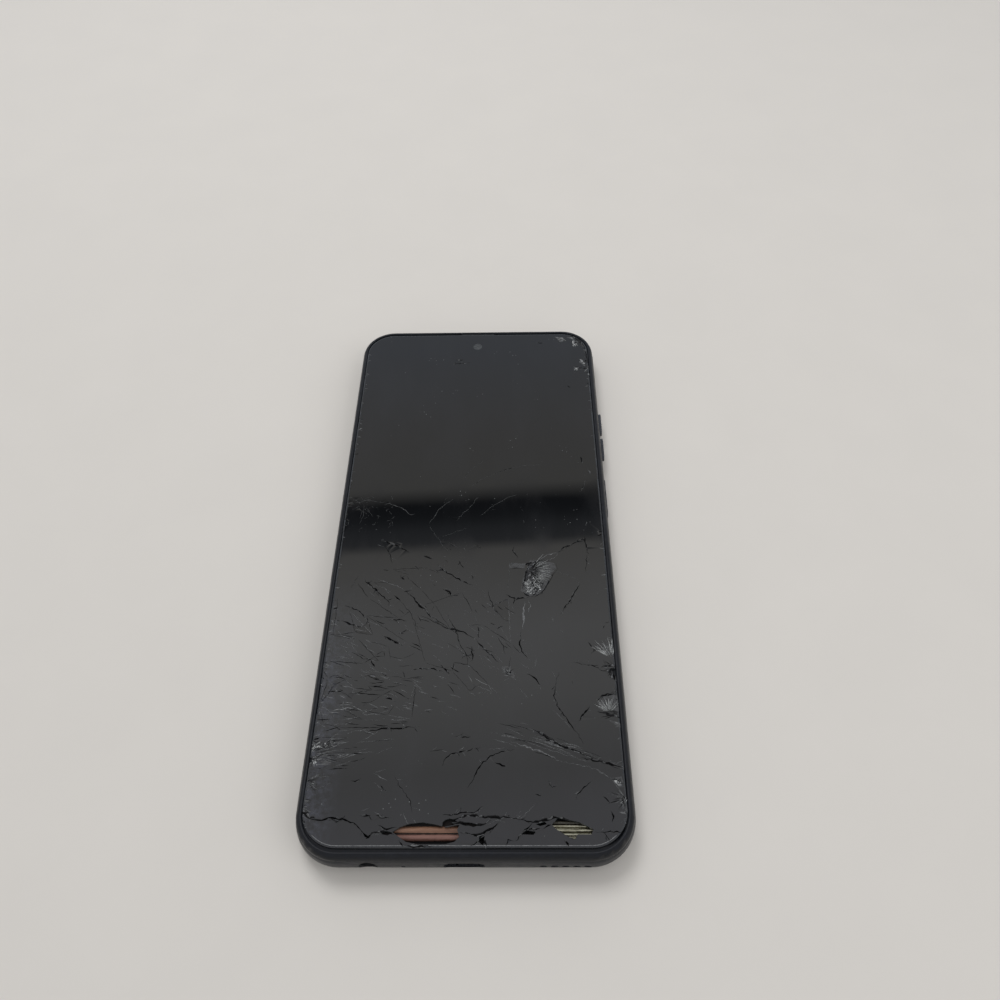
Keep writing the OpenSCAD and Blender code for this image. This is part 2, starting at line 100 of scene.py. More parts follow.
def add_node(
    tree: bpy.types.NodeTree,
    kind: str,
    inputs: dict | None = None,
    **settings: object,
) -> bpy.types.Node:
    """Adds one node with its settings, and sets or links its inputs.

    Args:
        tree: node tree to add to.
        kind: Blender's name of the node type, without its ShaderNode.
        inputs: socket name or number to a value, an output socket, or a node whose first output is meant.
        settings: attributes of the node.

    Returns:
        The new node.
    """
    node = tree.nodes.new("ShaderNode" + kind)
    for key, value in settings.items():
        setattr(node, key, value)
    for key, value in (inputs or {}).items():
        if isinstance(value, bpy.types.Node):
            value = value.outputs[0]
        if isinstance(value, bpy.types.NodeSocket):
            tree.links.new(value, node.inputs[key])
        else:
            node.inputs[key].default_value = value
    return node


# ---------------------------------------------------------------- finishes
class Pattern(Enum):
    """What a finish shows when seen close."""

    CLOUDY = "cloudy"
    BRUSHED = "brushed"
    WEAVE = "weave"
    TRACKS = "tracks"
    GRIT = "grit"


@dataclass(frozen=True)
class Finish:
    """One finish: a real material and how its surface was made.

    Sizes of the pattern and the bump are in millimetres.
    """

    name: str
    base: str
    tint: str
    rough: tuple[float, float] = (0.35, 0.5)
    grain: float = 1.0
    pattern: Pattern = Pattern.CLOUDY
    metallic: float = 0.0
    ior: float = 1.5
    specular: float = 0.5
    bump: float = 0.0
    coat: float = 0.0
    along: tuple[float, float, float] = (1.0, 1.0, 1.0)
    dust: str = ""
    dust_share: float = 0.0

    def _pattern(self, tree: bpy.types.NodeTree, place: bpy.types.NodeSocket) -> bpy.types.NodeSocket:
        """Adds the texture that the finish is named for.

        Args:
            tree: node tree of the material.
            place: Object coordinates in grains.

        Returns:
            A value from 0 to 1.
        """
        if self.pattern is Pattern.WEAVE:
            across = add_node(tree, "TexWave", {"Vector": place, "Scale": 1.0}, bands_direction="X")
            down = add_node(tree, "TexWave", {"Vector": place, "Scale": 1.0}, bands_direction="Z")
            both = add_node(
                tree, "Math", {0: across.outputs["Fac"], 1: down.outputs["Fac"]}, operation="MULTIPLY")
            return both.outputs[0]
        if self.pattern is Pattern.TRACKS:
            cells = add_node(
                tree, "TexVoronoi", {"Vector": place, "Scale": 1.0, "Randomness": 0.35},
                distance="CHEBYCHEV")
            return add_node(
                tree, "MapRange",
                {"Value": cells.outputs["Distance"], "From Min": 0.22, "From Max": 0.3},
            ).outputs[0]
        if self.pattern is Pattern.GRIT:
            cells = add_node(tree, "TexVoronoi", {"Vector": place, "Scale": 1.0})
            return cells.outputs["Distance"]
        detail = 6.0 if self.pattern is Pattern.BRUSHED else 4.0
        noise = add_node(
            tree, "TexNoise", {"Vector": place, "Scale": 1.0, "Detail": detail, "Roughness": 0.6})
        return add_node(
            tree, "MapRange",
            {"Value": noise.outputs["Fac"], "From Min": 0.32, "From Max": 0.68},
        ).outputs[0]

    def material(self) -> bpy.types.Material:
        """Builds the material, or returns it if it is already there.

        Returns:
            The material that carries this finish's name.
        """
        made = bpy.data.materials.get(self.name)
        if made:
            return made
        made = bpy.data.materials.new(self.name)
        made.use_nodes = True
        made.diffuse_color = linear(self.base)
        tree = made.node_tree
        shader = tree.nodes["Principled BSDF"]
        shader.inputs["Metallic"].default_value = self.metallic
        shader.inputs["IOR"].default_value = self.ior
        shader.inputs["Specular IOR Level"].default_value = self.specular
        shader.inputs["Coat Weight"].default_value = self.coat
        shader.inputs["Coat Roughness"].default_value = 0.12
        place = add_node(tree, "TexCoord").outputs["Object"]
        steps = tuple(a / (self.grain * MM) for a in self.along)
        scaled = add_node(tree, "Mapping", {"Vector": place, "Scale": steps}).outputs[0]
        amount = self._pattern(tree, scaled)
        colour = add_node(
            tree, "Mix",
            {"Factor": amount, "A": linear(self.base), "B": linear(self.tint)}, data_type="RGBA",
        )
        colour_out = colour.outputs["Result"]
        if self.dust_share:
            lint = add_node(
                tree, "TexNoise", {"Vector": place, "Scale": 900.0, "Detail": 5.0, "Roughness": 0.7})
            patch = add_node(tree, "TexNoise", {"Vector": place, "Scale": 90.0, "Detail": 3.0})
            settled = add_node(
                tree, "Math", {0: lint.outputs["Fac"], 1: patch.outputs["Fac"]}, operation="MULTIPLY")
            share = add_node(
                tree, "MapRange",
                {"Value": settled, "From Min": 0.27, "From Max": 0.46, "To Max": self.dust_share},
            )
            dusty = add_node(
                tree, "Mix",
                {"Factor": share, "A": colour_out, "B": linear(self.dust)}, data_type="RGBA",
            )
            colour_out = dusty.outputs["Result"]
        tree.links.new(colour_out, shader.inputs["Base Color"])
        rough = add_node(
            tree, "MapRange",
            {"Value": amount, "To Min": self.rough[0], "To Max": self.rough[1]},
        )
        tree.links.new(rough.outputs[0], shader.inputs["Roughness"])
        if self.bump:
            relief = add_node(
                tree, "Bump",
                {"Height": amount, "Strength": 1.0, "Distance": self.bump * MM},
            )
            tree.links.new(relief.outputs[0], shader.inputs["Normal"])
        return made


# Polycarbonate shell, injection moulded with a satin lacquer: near black navy, a soft sheen,
# fine orange peel, handling dust that settles in patches.
SHELL = Finish("lacquered_polycarbonate", "#0f1217", "#15181f", (0.3, 0.42), 1.6, specular=0.4, bump=0.004,
               dust="#3c3f45", dust_share=0.14)
# The same plastic on the rim, where hands have rubbed the lacquer: a little duller and dustier.
RIM = Finish("worn_polycarbonate", "#0b0d11", "#12151b", (0.3, 0.46), 0.9, specular=0.22, bump=0.005,
             dust="#43464c", dust_share=0.16)
# The narrow flat lip beside the glass, polished by every thumb that passes it: it mirrors the room as a line.
LIP = Finish("polished_lip", "#0e1014", "#15181d", (0.1, 0.2), 0.9, specular=0.6)
# Anodised keys: harder and a little glossier than the shell.
KEY = Finish("lacquered_key_plastic", "#171a22", "#1f232c", (0.22, 0.32), 1.0, bump=0.003)
# Fracture face of an open crack: light is lost in it, so its near black colour is painted shade.
OPEN_CRACK = Finish("open_fracture", "#040405", "#0b0b0d", (0.4, 0.6), 0.3, bump=0.01)
# Hairline: a fracture face that throws light back; its grey to pale colour is a painted reflection of that
# light.
HAIRLINE = Finish("bright_hairline", "#3e4042", "#7c7e80", (0.25, 0.45), 0.5)
# A flake that has lifted off its layer below: a hazy grey under clear glass.
FLAKE = Finish("lifted_glass_flake", "#1d1e1f", "#3d3e40", (0.2, 0.45), 0.7)
# Powdered glass: each grain scatters, so it is a broken white.
POWDER = Finish("powdered_glass", "#6c6f70", "#c6c9ca", (0.22, 0.5), 0.35, Pattern.GRIT, bump=0.04)
# Pencil ground edge of the cover glass: a thin satin line round the whole sheet.
GROUND_EDGE = Finish("ground_glass_edge", "#191b1e", "#24272b", (0.2, 0.34), 0.8)
# Front camera's glass behind its clear hole, fogged with fine dust.
FOGGED_LENS = Finish("fogged_front_lens", "#212426", "#414446", (0.2, 0.35), 0.7)
# The glass's own thickness, bare where a piece has fallen out: dark green grey.
GLASS_WALL = Finish("broken_glass_edge", "#15191a", "#3a4243", (0.12, 0.3), 0.5)
# Optically clear adhesive film over a black panel: nearly black and rather dull.
FILM = Finish("adhesive_film", "#0d0e10", "#191b1e", (0.25, 0.5), 1.2, bump=0.01)
# Switched off liquid crystal panel under its polariser: smooth and nearly black.
PANEL = Finish("dead_display_panel", "#08090b", "#101216", (0.15, 0.3), 2.0, bump=0.004)
# Copper foil under brown polyimide, creased along its folds.
COPPER_FILM = Finish("copper_polyimide_film", "#5f4234", "#82624f", (0.3, 0.46), 0.7, Pattern.BRUSHED,
                     metallic=0.2, bump=0.012, along=(0.1, 1.0, 1.0), dust="#2a1e19", dust_share=0.3)
COPPER_FOLD = Finish("folded_copper_film", "#5e413a", "#7c5c53", (0.3, 0.46), 0.7, Pattern.BRUSHED,
                     metallic=0.2, bump=0.012, along=(0.1, 1.0, 1.0), dust="#2a1e19", dust_share=0.3)
# Near black on the film round the copper rolls: painted shade, where the rolls and the glass above shade the
# film.
FILM_SHADE = Finish("film_painted_shade", "#070505", "#120d0b", (0.5, 0.7), 0.6, specular=0.2)
# Tin plated contact strip, pressed in ribs: yellow grey metal with tarnish.
CONTACT = Finish("tinned_contact_strip", "#aeac9b", "#77745f", (0.22, 0.4), 0.8, Pattern.BRUSHED,
                 metallic=1.0, bump=0.02, along=(0.35, 1.0, 1.0), dust="#2a2a22", dust_share=0.6)
# The upper part of the strip, next to the edge of the glass: painted shade, dark brown grey, where the glass
# above shades it.
CONTACT_SHADE = Finish("contact_strip_painted_shade", "#2c2b26", "#4a473e", (0.35, 0.55), 0.6, Pattern.BRUSHED,
                 bump=0.02, along=(0.35, 1.0, 1.0))
# Die cast magnesium with a black conversion coat: dull, with a sandy skin.
MAGNESIUM = Finish("black_coated_magnesium", "#0b0c0d", "#17181a", (0.5, 0.7), 1.4, specular=0.3, bump=0.02)
# Fibreglass board under green solder mask: copper tracks show as a lighter relief.
BOARD = Finish(
    "solder_mask_board", "#0f3a24", "#1c5a38", (0.25, 0.4), 1.1, Pattern.TRACKS, bump=0.02, coat=0.3)
# Pressed nickel silver can: grey, with the fine lines that rolling left.
SHIELD = Finish("pressed_nickel_silver", "#9a9b9a", "#7d7f80", (0.25, 0.4), 1.5, Pattern.BRUSHED,
                metallic=1.0, bump=0.004, along=(0.2, 1.0, 1.0))
# Stamped stainless steel: a little darker than the cans, streaked along the port.
PORT_STEEL = Finish("stamped_steel", "#8d9094", "#63666a", (0.2, 0.38), 0.8, Pattern.BRUSHED,
                    metallic=1.0, bump=0.004, along=(1.0, 0.2, 1.0))
# Woven polyester mesh over the speaker openings: dark threads about 0.1 mm apart.
MESH_CLOTH = Finish("woven_acoustic_mesh", "#16181b", "#3d4146", (0.45, 0.65), 0.3, Pattern.WEAVE, bump=0.05)
# Aluminium laminate pouch of the battery in black film: matt, with soft dents.
CELL = Finish("pouch_cell_foil", "#1c1e21", "#2b2e32", (0.45, 0.6), 3.0, bump=0.05)
# Amber polyimide film over copper tracks: warm and glossy, the tracks a little lighter.
POLYIMIDE = Finish(
    "amber_polyimide", "#7a4a12", "#9a661f", (0.25, 0.4), 1.2, Pattern.TRACKS, bump=0.01, coat=0.3)
# Glass filled liquid crystal polymer, injection moulded: matt black.
HOUSING = Finish("black_liquid_crystal_polymer", "#0c0d0f", "#17191c", (0.4, 0.6), 0.8, bump=0.01)
# Coated camera glass: black, very sharp reflections.
LENS = Finish("coated_camera_glass", "#050608", "#0a0d16", (0.03, 0.06), 2.5, ior=1.6, coat=1.0)
# Anodised and blackened aluminium barrel: dull, so that it throws no light into the lens.
BARREL = Finish("blackened_lens_barrel", "#0b0c0e", "#1c1e21", (0.3, 0.45), 0.6, bump=0.01)
# Turned aluminium ring: a mid grey satin.
RING = Finish("turned_aluminium_ring", "#4a4d52", "#6a6e74", (0.2, 0.32), 0.3, Pattern.BRUSHED, metallic=1.0)
# Yellow phosphor under the clear lens of the flash: grainy, a pale yellow.
PHOSPHOR = Finish(
    "phosphor_flash_lens", "#c9b04e", "#e2d07c", (0.2, 0.35), 0.6, Pattern.GRIT, bump=0.05, coat=0.5)
# Gold flashed contact: warm and even.
CONTACT_GOLD = Finish("gold_flashed_contact", "#b58a3c", "#d4ab5a", (0.22, 0.35), 0.5, metallic=1.0)


@dataclass(frozen=True)
class CoverGlassFinish:
    """Toughened cover glass over a switched off display.

    It is black, sharp and glossy; finger marks dull it in soft patches,
    and fine dust shows as pale specks.
    """

    name: str = "toughened_cover_glass"
    body: str = "#08090b"
    smear: str = "#101114"
    speck: str = "#7f8385"
    flour: str = "#3c3f4b"
    clean_rough: float = 0.03
    smeared_rough: float = 0.1

    def material(self) -> bpy.types.Material:
        """Builds the material.

        Returns:
            The cover glass material.
        """
        made = bpy.data.materials.new(self.name)
        made.use_nodes = True
        made.diffuse_color = linear(self.body)
        tree = made.node_tree
        shader = tree.nodes["Principled BSDF"]
        # Aluminosilicate glass.
        shader.inputs["IOR"].default_value = 1.51
        place = add_node(tree, "TexCoord").outputs["Object"]
        # Finger marks are patches of about 14 mm by 36 mm, drawn out along the thumb's swipe.
        swipe = add_node(tree, "Mapping", {"Vector": place, "Rotation": (0, 0, 0.6), "Scale": (70, 28, 1)})
        mark = add_node(tree, "TexNoise", {"Vector": swipe, "Scale": 1.0, "Detail": 5.0, "Roughness": 0.55})
        smeared = add_node(
            tree, "MapRange", {"Value": mark.outputs["Fac"], "From Min": 0.45, "From Max": 0.72})
        # Specks of dust about 0.2 mm across, at most one to each 2.4 mm.
        cells = add_node(tree, "TexVoronoi", {"Vector": place, "Scale": 420.0}, voronoi_dimensions="2D")
        grain = add_node(
            tree, "MapRange",
            {"Value": cells.outputs["Distance"], "From Min": 0.035, "From Max": 0.06, "To Min": 1.0,
             "To Max": 0.0})
        rare = add_node(tree, "TexNoise", {"Vector": place, "Scale": 120.0, "Detail": 3.0})
        where = add_node(
            tree, "MapRange",
            {"Value": rare.outputs["Fac"], "From Min": 0.6, "From Max": 0.7, "To Max": 0.6})
        dust = add_node(tree, "Math", {0: grain, 1: where}, operation="MULTIPLY")
        body = add_node(
            tree, "Mix", {"Factor": smeared, "A": linear(self.body), "B": linear(self.smear)},
            data_type="RGBA")
        # Glass flour rubbed into the lower left edge: a bluish haze over the outer 8 mm.
        apart = add_node(tree, "SeparateXYZ", {0: place})
        side = add_node(
            tree, "MapRange", {"Value": apart.outputs["X"], "From Min": -0.0275, "From Max": -0.0355})
        low = add_node(tree, "MapRange", {"Value": apart.outputs["Y"], "From Min": -0.014, "From Max": -0.04})
        flour = add_node(
            tree, "TexNoise", {"Vector": place, "Scale": 620.0, "Detail": 6.0, "Roughness": 0.75})
        clumps = add_node(
            tree, "MapRange",
            {"Value": flour.outputs["Fac"], "From Min": 0.42, "From Max": 0.68, "To Max": 0.8})
        corner = add_node(tree, "Math", {0: side, 1: low}, operation="MULTIPLY")
        hazy = add_node(tree, "Math", {0: corner, 1: clumps}, operation="MULTIPLY")
        veiled = add_node(
            tree, "Mix", {"Factor": hazy, "A": body.outputs["Result"], "B": linear(self.flour)},
            data_type="RGBA")
        colour = add_node(
            tree, "Mix", {"Factor": dust, "A": veiled.outputs["Result"], "B": linear(self.speck)},
            data_type="RGBA")
        tree.links.new(colour.outputs["Result"], shader.inputs["Base Color"])
        gloss = add_node(
            tree, "MapRange", {"Value": smeared, "To Min": self.clean_rough, "To Max": self.smeared_rough})
        dull = add_node(tree, "Math", {0: gloss, 1: dust}, operation="ADD")
        tree.links.new(dull.outputs[0], shader.inputs["Roughness"])
        # Toughened glass is never quite flat: a slow wave a few centimetres long.
        wave = add_node(tree, "TexNoise", {"Vector": place, "Scale": 28.0, "Detail": 1.0})
        relief = add_node(
            tree, "Bump", {"Height": wave.outputs["Fac"], "Strength": 1.0, "Distance": 0.03 * MM})
        tree.links.new(relief.outputs[0], shader.inputs["Normal"])
        return made


# ---------------------------------------------------------------- mesh helpers
def rest_selection() -> None:
    """Leaves edit mode and deselects everything."""
    if bpy.context.object and bpy.context.object.mode != "OBJECT":
        bpy.ops.object.mode_set(mode="OBJECT")
    bpy.ops.object.select_all(action="DESELECT")


def take(thing: bpy.types.Object) -> None:
    """Selects one object and makes it the active one."""
    rest_selection()
    thing.select_set(True)
    bpy.context.view_layer.objects.active = thing


def settle(thing: bpy.types.Object) -> bpy.types.Object:
    """Puts the object's place, turn and size into its mesh.

    Args:
        thing: a mesh object.

    Returns:
        The same object, at the origin.
    """
    take(thing)
    bpy.ops.object.transform_apply(location=True, rotation=True, scale=True)
    return thing


def clear_pick(thing: bpy.types.Object, kind: str) -> None:
    """Empties the selection inside an object, and leaves it in object mode for code to select.

    Args:
        thing: object in edit or object mode.
        kind: FACE or EDGE.
    """
    take(thing)
    bpy.ops.object.mode_set(mode="EDIT")
    bpy.ops.mesh.select_mode(type=kind)
    bpy.ops.mesh.select_all(action="DESELECT")
    bpy.ops.object.mode_set(mode="OBJECT")


def pick_faces(thing: bpy.types.Object, rule: Callable[[Vector, Vector], bool]) -> None:
    """Selects the faces that follow a rule, in edit mode, in face select.

    Args:
        thing: object in edit or object mode.
        rule: takes a face's centre and normal in the object's own space.
    """
    clear_pick(thing, "FACE")
    for face in thing.data.polygons:
        face.select = rule(face.center, face.normal)
    bpy.ops.object.mode_set(mode="EDIT")


def pick_edges(thing: bpy.types.Object, rule: Callable[[Vector, Vector], bool]) -> None:
    """Selects the edges that follow a rule, in edit mode, in edge select.

    Args:
        thing: object in edit or object mode.
        rule: takes an edge's two ends in the object's own space.
    """
    clear_pick(thing, "EDGE")
    for edge in thing.data.edges:
        edge.select = rule(*(thing.data.vertices[end].co for end in edge.vertices))
    bpy.ops.object.mode_set(mode="EDIT")


def round_edges(thing: bpy.types.Object, width: float, steps: int = 2, angle: float = 35.0) -> None:
    """Rounds the sharp edges of a piece.

    Args:
        thing: object to round.
        width: width of the round in millimetres.
        steps: segments of the round.
        angle: edges sharper than this many degrees are rounded.
    """
    take(thing)
    round_off = thing.modifiers.new("round", "BEVEL")
    round_off.width = width * MM
    round_off.segments = steps
    round_off.limit_method = "ANGLE"
    round_off.angle_limit = math.radians(angle)
    round_off.use_clamp_overlap = True
    bpy.ops.object.modifier_apply(modifier=round_off.name)


def smooth(thing: bpy.types.Object, angle: float = 35.0) -> None:
    """Shades faces smooth up to an angle in degrees."""
    take(thing)
    bpy.ops.object.shade_smooth_by_angle(angle=math.radians(angle))


def dress(thing: bpy.types.Object, *finishes: Finish) -> None:
    """Gives a piece its finishes, in the order of its material numbers."""
    thing.data.materials.clear()
    for finish in finishes:
        thing.data.materials.append(finish.material())


def join(name: str, parts: Sequence[bpy.types.Object]) -> bpy.types.Object:
    """Joins several objects into one piece.

    Args:
        name: name of the piece.
        parts: mesh objects; the first one is kept.

    Returns:
        The joined piece.
    """
    rest_selection()
    for part in parts:
        part.select_set(True)
    bpy.context.view_layer.objects.active = parts[0]
    if len(parts) > 1:
        bpy.ops.object.join()
    parts[0].name = parts[0].data.name = name
    return parts[0]


def own_copy(thing: bpy.types.Object, place: Matrix) -> bpy.types.Object:
    """Copies an object with its own mesh and puts the copy's place into that mesh.

    Args:
        thing: object to copy; its own place is kept.
        place: where the copy goes, relative to the original's mesh.

    Returns:
        The copy, at the origin.
    """
    copy = thing.copy()
    copy.data = thing.data.copy()
    copy.data.transform(place)
    bpy.context.scene.collection.objects.link(copy)
    return copy


def welded_node(name: str, frame: dict, piece: str) -> bpy.types.Object:
    """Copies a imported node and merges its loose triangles.

    Args:
        name: node's name.
        piece: name of the new piece.

    Returns:
        The welded copy, still without its finish.
    """
    source = frame["nodes"][name]
    copy = bpy.data.objects.new(piece, source.data.copy())
    copy.data.name = piece
    bpy.context.scene.collection.objects.link(copy)
    take(copy)
    bpy.ops.object.mode_set(mode="EDIT")
    bpy.ops.mesh.select_all(action="SELECT")
    bpy.ops.mesh.remove_doubles(threshold=1e-6)
    bpy.ops.mesh.dissolve_limited(angle_limit=math.radians(0.5))
    bpy.ops.object.mode_set(mode="OBJECT")
    return copy


def on_body(piece: bpy.types.Object, body: str, slot: str, *nodes: str) -> bpy.types.Object:
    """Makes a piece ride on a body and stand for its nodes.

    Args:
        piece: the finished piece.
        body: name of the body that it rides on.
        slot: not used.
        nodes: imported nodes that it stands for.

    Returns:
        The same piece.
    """
    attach(piece, body)
    if nodes:
        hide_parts(*nodes)
    LOG.info("%s: %d faces, rides on %s", piece.name, len(piece.data.polygons), body)
    return piece


# ---------------------------------------------------------------- cracks
class Kind(Enum):
    """What one cell of the crack plan is."""

    HAIR = "hairline that catches light"
    POWDER = "crushed glass"
    OPEN = "open crack"
    FLAKE = "flake that has lifted"
    # DARK is crushed glass dressed mostly in the open crack finish, whose black is painted shade.
    DARK = "crushed glass drawn mostly dark"
    FIBRE = "white fibre of crushed glass"
    LENS = "clear hole over the front camera"
    GAP = "glass has fallen out"


# The kinds that bursts, nets and streaks draw from, each as often as it is named.
BLACK = (Kind.OPEN,)
STRONG = (Kind.FIBRE, Kind.FIBRE, Kind.OPEN)
MIXED = (Kind.OPEN, Kind.HAIR, Kind.HAIR)
MOSTLY_BLACK = (Kind.OPEN, Kind.OPEN, Kind.OPEN, Kind.HAIR)
CHIPS = (Kind.HAIR, Kind.POWDER, Kind.OPEN)


class Slot(IntEnum):
    """Material numbers of the cover glass."""

    SHEET = 0
    OPEN = 1
    HAIR = 2
    POWDER = 3
    WALL = 4
    EDGE = 5
    LENS = 6
    FLAKE = 7


# What each kind is dressed in. Powder and the dark crushed glass are a mix: (materials, how often of 100). In
# them the open crack finish is painted shade and the hairline finish a painted reflection.
SLOTS = {
    None: Slot.SHEET, Kind.OPEN: Slot.OPEN, Kind.HAIR: Slot.HAIR, Kind.POWDER: Slot.POWDER,
    Kind.LENS: Slot.LENS, Kind.FLAKE: Slot.FLAKE, Kind.DARK: Slot.OPEN, Kind.FIBRE: Slot.POWDER,
}
MIXTURES = {
    Kind.POWDER: ((Slot.POWDER, Slot.HAIR, Slot.FLAKE, Slot.SHEET, Slot.OPEN), (20, 24, 24, 14, 18)),
    Kind.DARK: ((Slot.OPEN, Slot.SHEET, Slot.FLAKE, Slot.HAIR), (56, 22, 14, 8)),
}


@dataclass(frozen=True)
class Cell:
    """One face of the crack plan: a strip between two points, or an area."""

    kind: Kind
    start: Vector
    end: Vector
    half: tuple[float, float]
    depth: tuple[float, float]

    def depth_at(self, place: Vector) -> float:
        """Gives how far the surface sinks at a place in the plan.

        Args:
            place: a point in millimetres.

        Returns:
            Depth in millimetres.
        """
        run = self.end - self.start
        along = 0.0
        if run.length_squared > 1e-12:
            along = min(1.0, max(0.0, (place - self.start).dot(run) / run.length_squared))
        half = self.half[0] + (self.half[1] - self.half[0]) * along
        if half <= 1e-6:
            return 0.0
        off = (place - (self.start + run * along)).length
        sunk = self.depth[0] + (self.depth[1] - self.depth[0]) * along
        return sunk * max(0.0, 1.0 - off / half)


@dataclass
class CrackPlan:
    """The flat drawing of all cracks, kept as faces for one triangulation. Sizes in millimetres."""

    seed: int = 11
    points: list[Vector] = field(default_factory=list)
    faces: list[list[Vector]] = field(default_factory=list)
    edges: list[tuple[int, int]] = field(default_factory=list)
    cells: dict[int, Cell] = field(default_factory=dict)
    grid: dict[tuple[int, int], list[int]] = field(default_factory=dict)

    def __post_init__(self) -> None:
        """Starts the plan's own row of random numbers."""
        self.dice = random.Random(self.seed)

    def area(self, outline: Iterable[Sequence[float]], kind: Kind) -> None:
        """Adds a closed area.

        Args:
            outline: its corners.
            kind: what it is.
        """
        first = len(self.points)
        corners = [Vector(p) for p in outline]
        self.points += corners
        self._face(range(first, first + len(corners)), Cell(kind, corners[0], corners[0], (0, 0), (0, 0)))

    def ring(self, outline: Iterable[Sequence[float]]) -> None:
        """Adds a closed line that the mesh has to follow."""
        first = len(self.points)
        self.points += [Vector(p) for p in outline]
        count = len(self.points) - first
        self.edges += [(first + i, first + (i + 1) % count) for i in range(count)]

    def loose(self, place: Sequence[float]) -> None:
        """Adds a single point inside an area."""
        self.points.append(Vector(place))

    def _wander(self, line: Sequence[Sequence[float]], step: float, sway: float) -> list[Vector]:
        """Breaks a line into short runs and pushes each joint sideways.

        Args:
            line: given points.
            step: length of a run.
            sway: how far a joint moves, as a share of a run.

        Returns:
            The finer line, with the same ends.
        """
        fine = [Vector(line[0])]
        for a, b in zip(line, line[1:]):
            start, run = Vector(a), Vector(b) - Vector(a)
            count = max(1, round(run.length / step))
            side = Vector((-run.y, run.x)) / count
            for i in range(1, count + 1):
                push = 0.0 if i == count else self.dice.uniform(-sway, sway)
                fine.append(start + run * (i / count) + side * push)
        return fine

    def crack(
        self,
        line: Sequence[Sequence[float]],
        width: float,
        kind: Kind = Kind.OPEN,
        depth: float = 0.0,
        step: float = 0.7,
        sway: float = 0.3,
        blunt: bool = False,
        thorns: float = 0.0,
    ) -> None:
        """Adds a crack as a strip that is thick and thin by turns and ends in points.

        Args:
            line: given points.
            width: its widest place.
            kind: what it looks like.
            depth: depth of its groove, or 0 for one that follows the width.
            step: length of a straight run.
            sway: sideways wander, as a share of a run.
            blunt: keeps the first end wide, for a crack that starts at another.
            thorns: chance that a joint throws a short side crack.
        """
        fine = self._wander(line, step, sway)
        last = len(fine) - 1
        rows: list[tuple[int, int, int]] = []
        halves: list[float] = []
        for i, here in enumerate(fine):
            ahead = fine[min(i + 1, last)] - fine[max(i - 1, 0)]
            side = Vector((-ahead.y, ahead.x)).normalized()
            share = i / last
            taper = min(1.0, 3.0 * (1.0 - share)) if blunt else min(1.0, 3.0 * share, 3.0 * (1.0 - share))
            half = 0.5 * width * taper * self.dice.uniform(0.3, 1.0)
            half = 0.0 if i == last or (i == 0 and not blunt) else max(half, 0.03)
            halves.append(half)
            if half:
                rows.append((self._new(here + side * half), self._new(here), self._new(here - side * half)))
            else:
                tip = self._new(here)
                rows.append((tip, tip, tip))
            if 0 < i < last and self.dice.random() < thorns:
                lean = math.radians(self.dice.choice((-1, 1)) * self.dice.uniform(20, 70))
                way = Matrix.Rotation(lean, 2) @ ahead.normalized()
                end = here + way * self.dice.uniform(0.5, 1.8)
                self.crack(
                    (here, end), self.dice.uniform(0.1, 0.2), self.dice.choice((kind, Kind.HAIR)), step=0.5)
        sunk = depth or min(0.45, 0.12 + 1.1 * width)
        if kind in (Kind.HAIR, Kind.FLAKE, Kind.FIBRE) and not depth:
            sunk = min(0.2, 0.05 + 0.3 * width)
        for i in range(last):
            near, far = rows[i], rows[i + 1]
            full = [sunk * min(1.0, 2.2 * h / width) for h in (halves[i], halves[i + 1])]
            cell = Cell(kind, fine[i], fine[i + 1], (halves[i], halves[i + 1]), (full[0], full[1]))
            # Here and there one flank of an open crack takes the pale hairline finish: a painted highlight on
            # the flank that faces the light.
            flanks = [cell, cell]
            if kind is Kind.OPEN and self.dice.random() < 0.3:
                flanks[self.dice.randrange(2)] = replace(cell, kind=Kind.HAIR)
            for side in (0, 1):
                for facet in (
                    (near[side], near[side + 1], far[side + 1]), (near[side], far[side + 1], far[side])):
                    if len(set(facet)) == 3:
                        self._face(facet, flanks[side])

    def _face(self, corners: Iterable[int], cell: Cell) -> None:
        """Adds one face, its sides, and its entry in the square grid that finds it again.

        Args:
            corners: numbers of its points, in order round it.
            cell: what the face is.
        """
        loop = list(corners)
        self.edges += [pair for pair in zip(loop, loop[1:] + loop[:1])]
        places = [self.points[i] for i in loop]
        number = len(self.faces)
        self.faces.append(places)
        self.cells[number] = cell
        xs, ys = [p.x for p in places], [p.y for p in places]
        for x in range(math.floor(min(xs)), math.floor(max(xs)) + 1):
            for y in range(math.floor(min(ys)), math.floor(max(ys)) + 1):
                self.grid.setdefault((x, y), []).append(number)

    def covering(self, place: Vector) -> list[int]:
        """Finds the faces of the plan that a place lies in.

        Args:
            place: a point in millimetres.

        Returns:
            Numbers of those faces.
        """
        found = []
        for number in self.grid.get((math.floor(place.x), math.floor(place.y)), ()):
            loop, inside = self.faces[number], False
            for a, b in zip(loop, loop[1:] + loop[:1]):
                if (a.y > place.y) != (b.y > place.y):
                    crossing = a.x + (place.y - a.y) * (b.x - a.x) / (b.y - a.y)
                    inside ^= place.x < crossing
            if inside:
                found.append(number)
        return found

    def _new(self, place: Vector) -> int:
        """Adds a point and returns its number."""
        self.points.append(place)
        return len(self.points) - 1

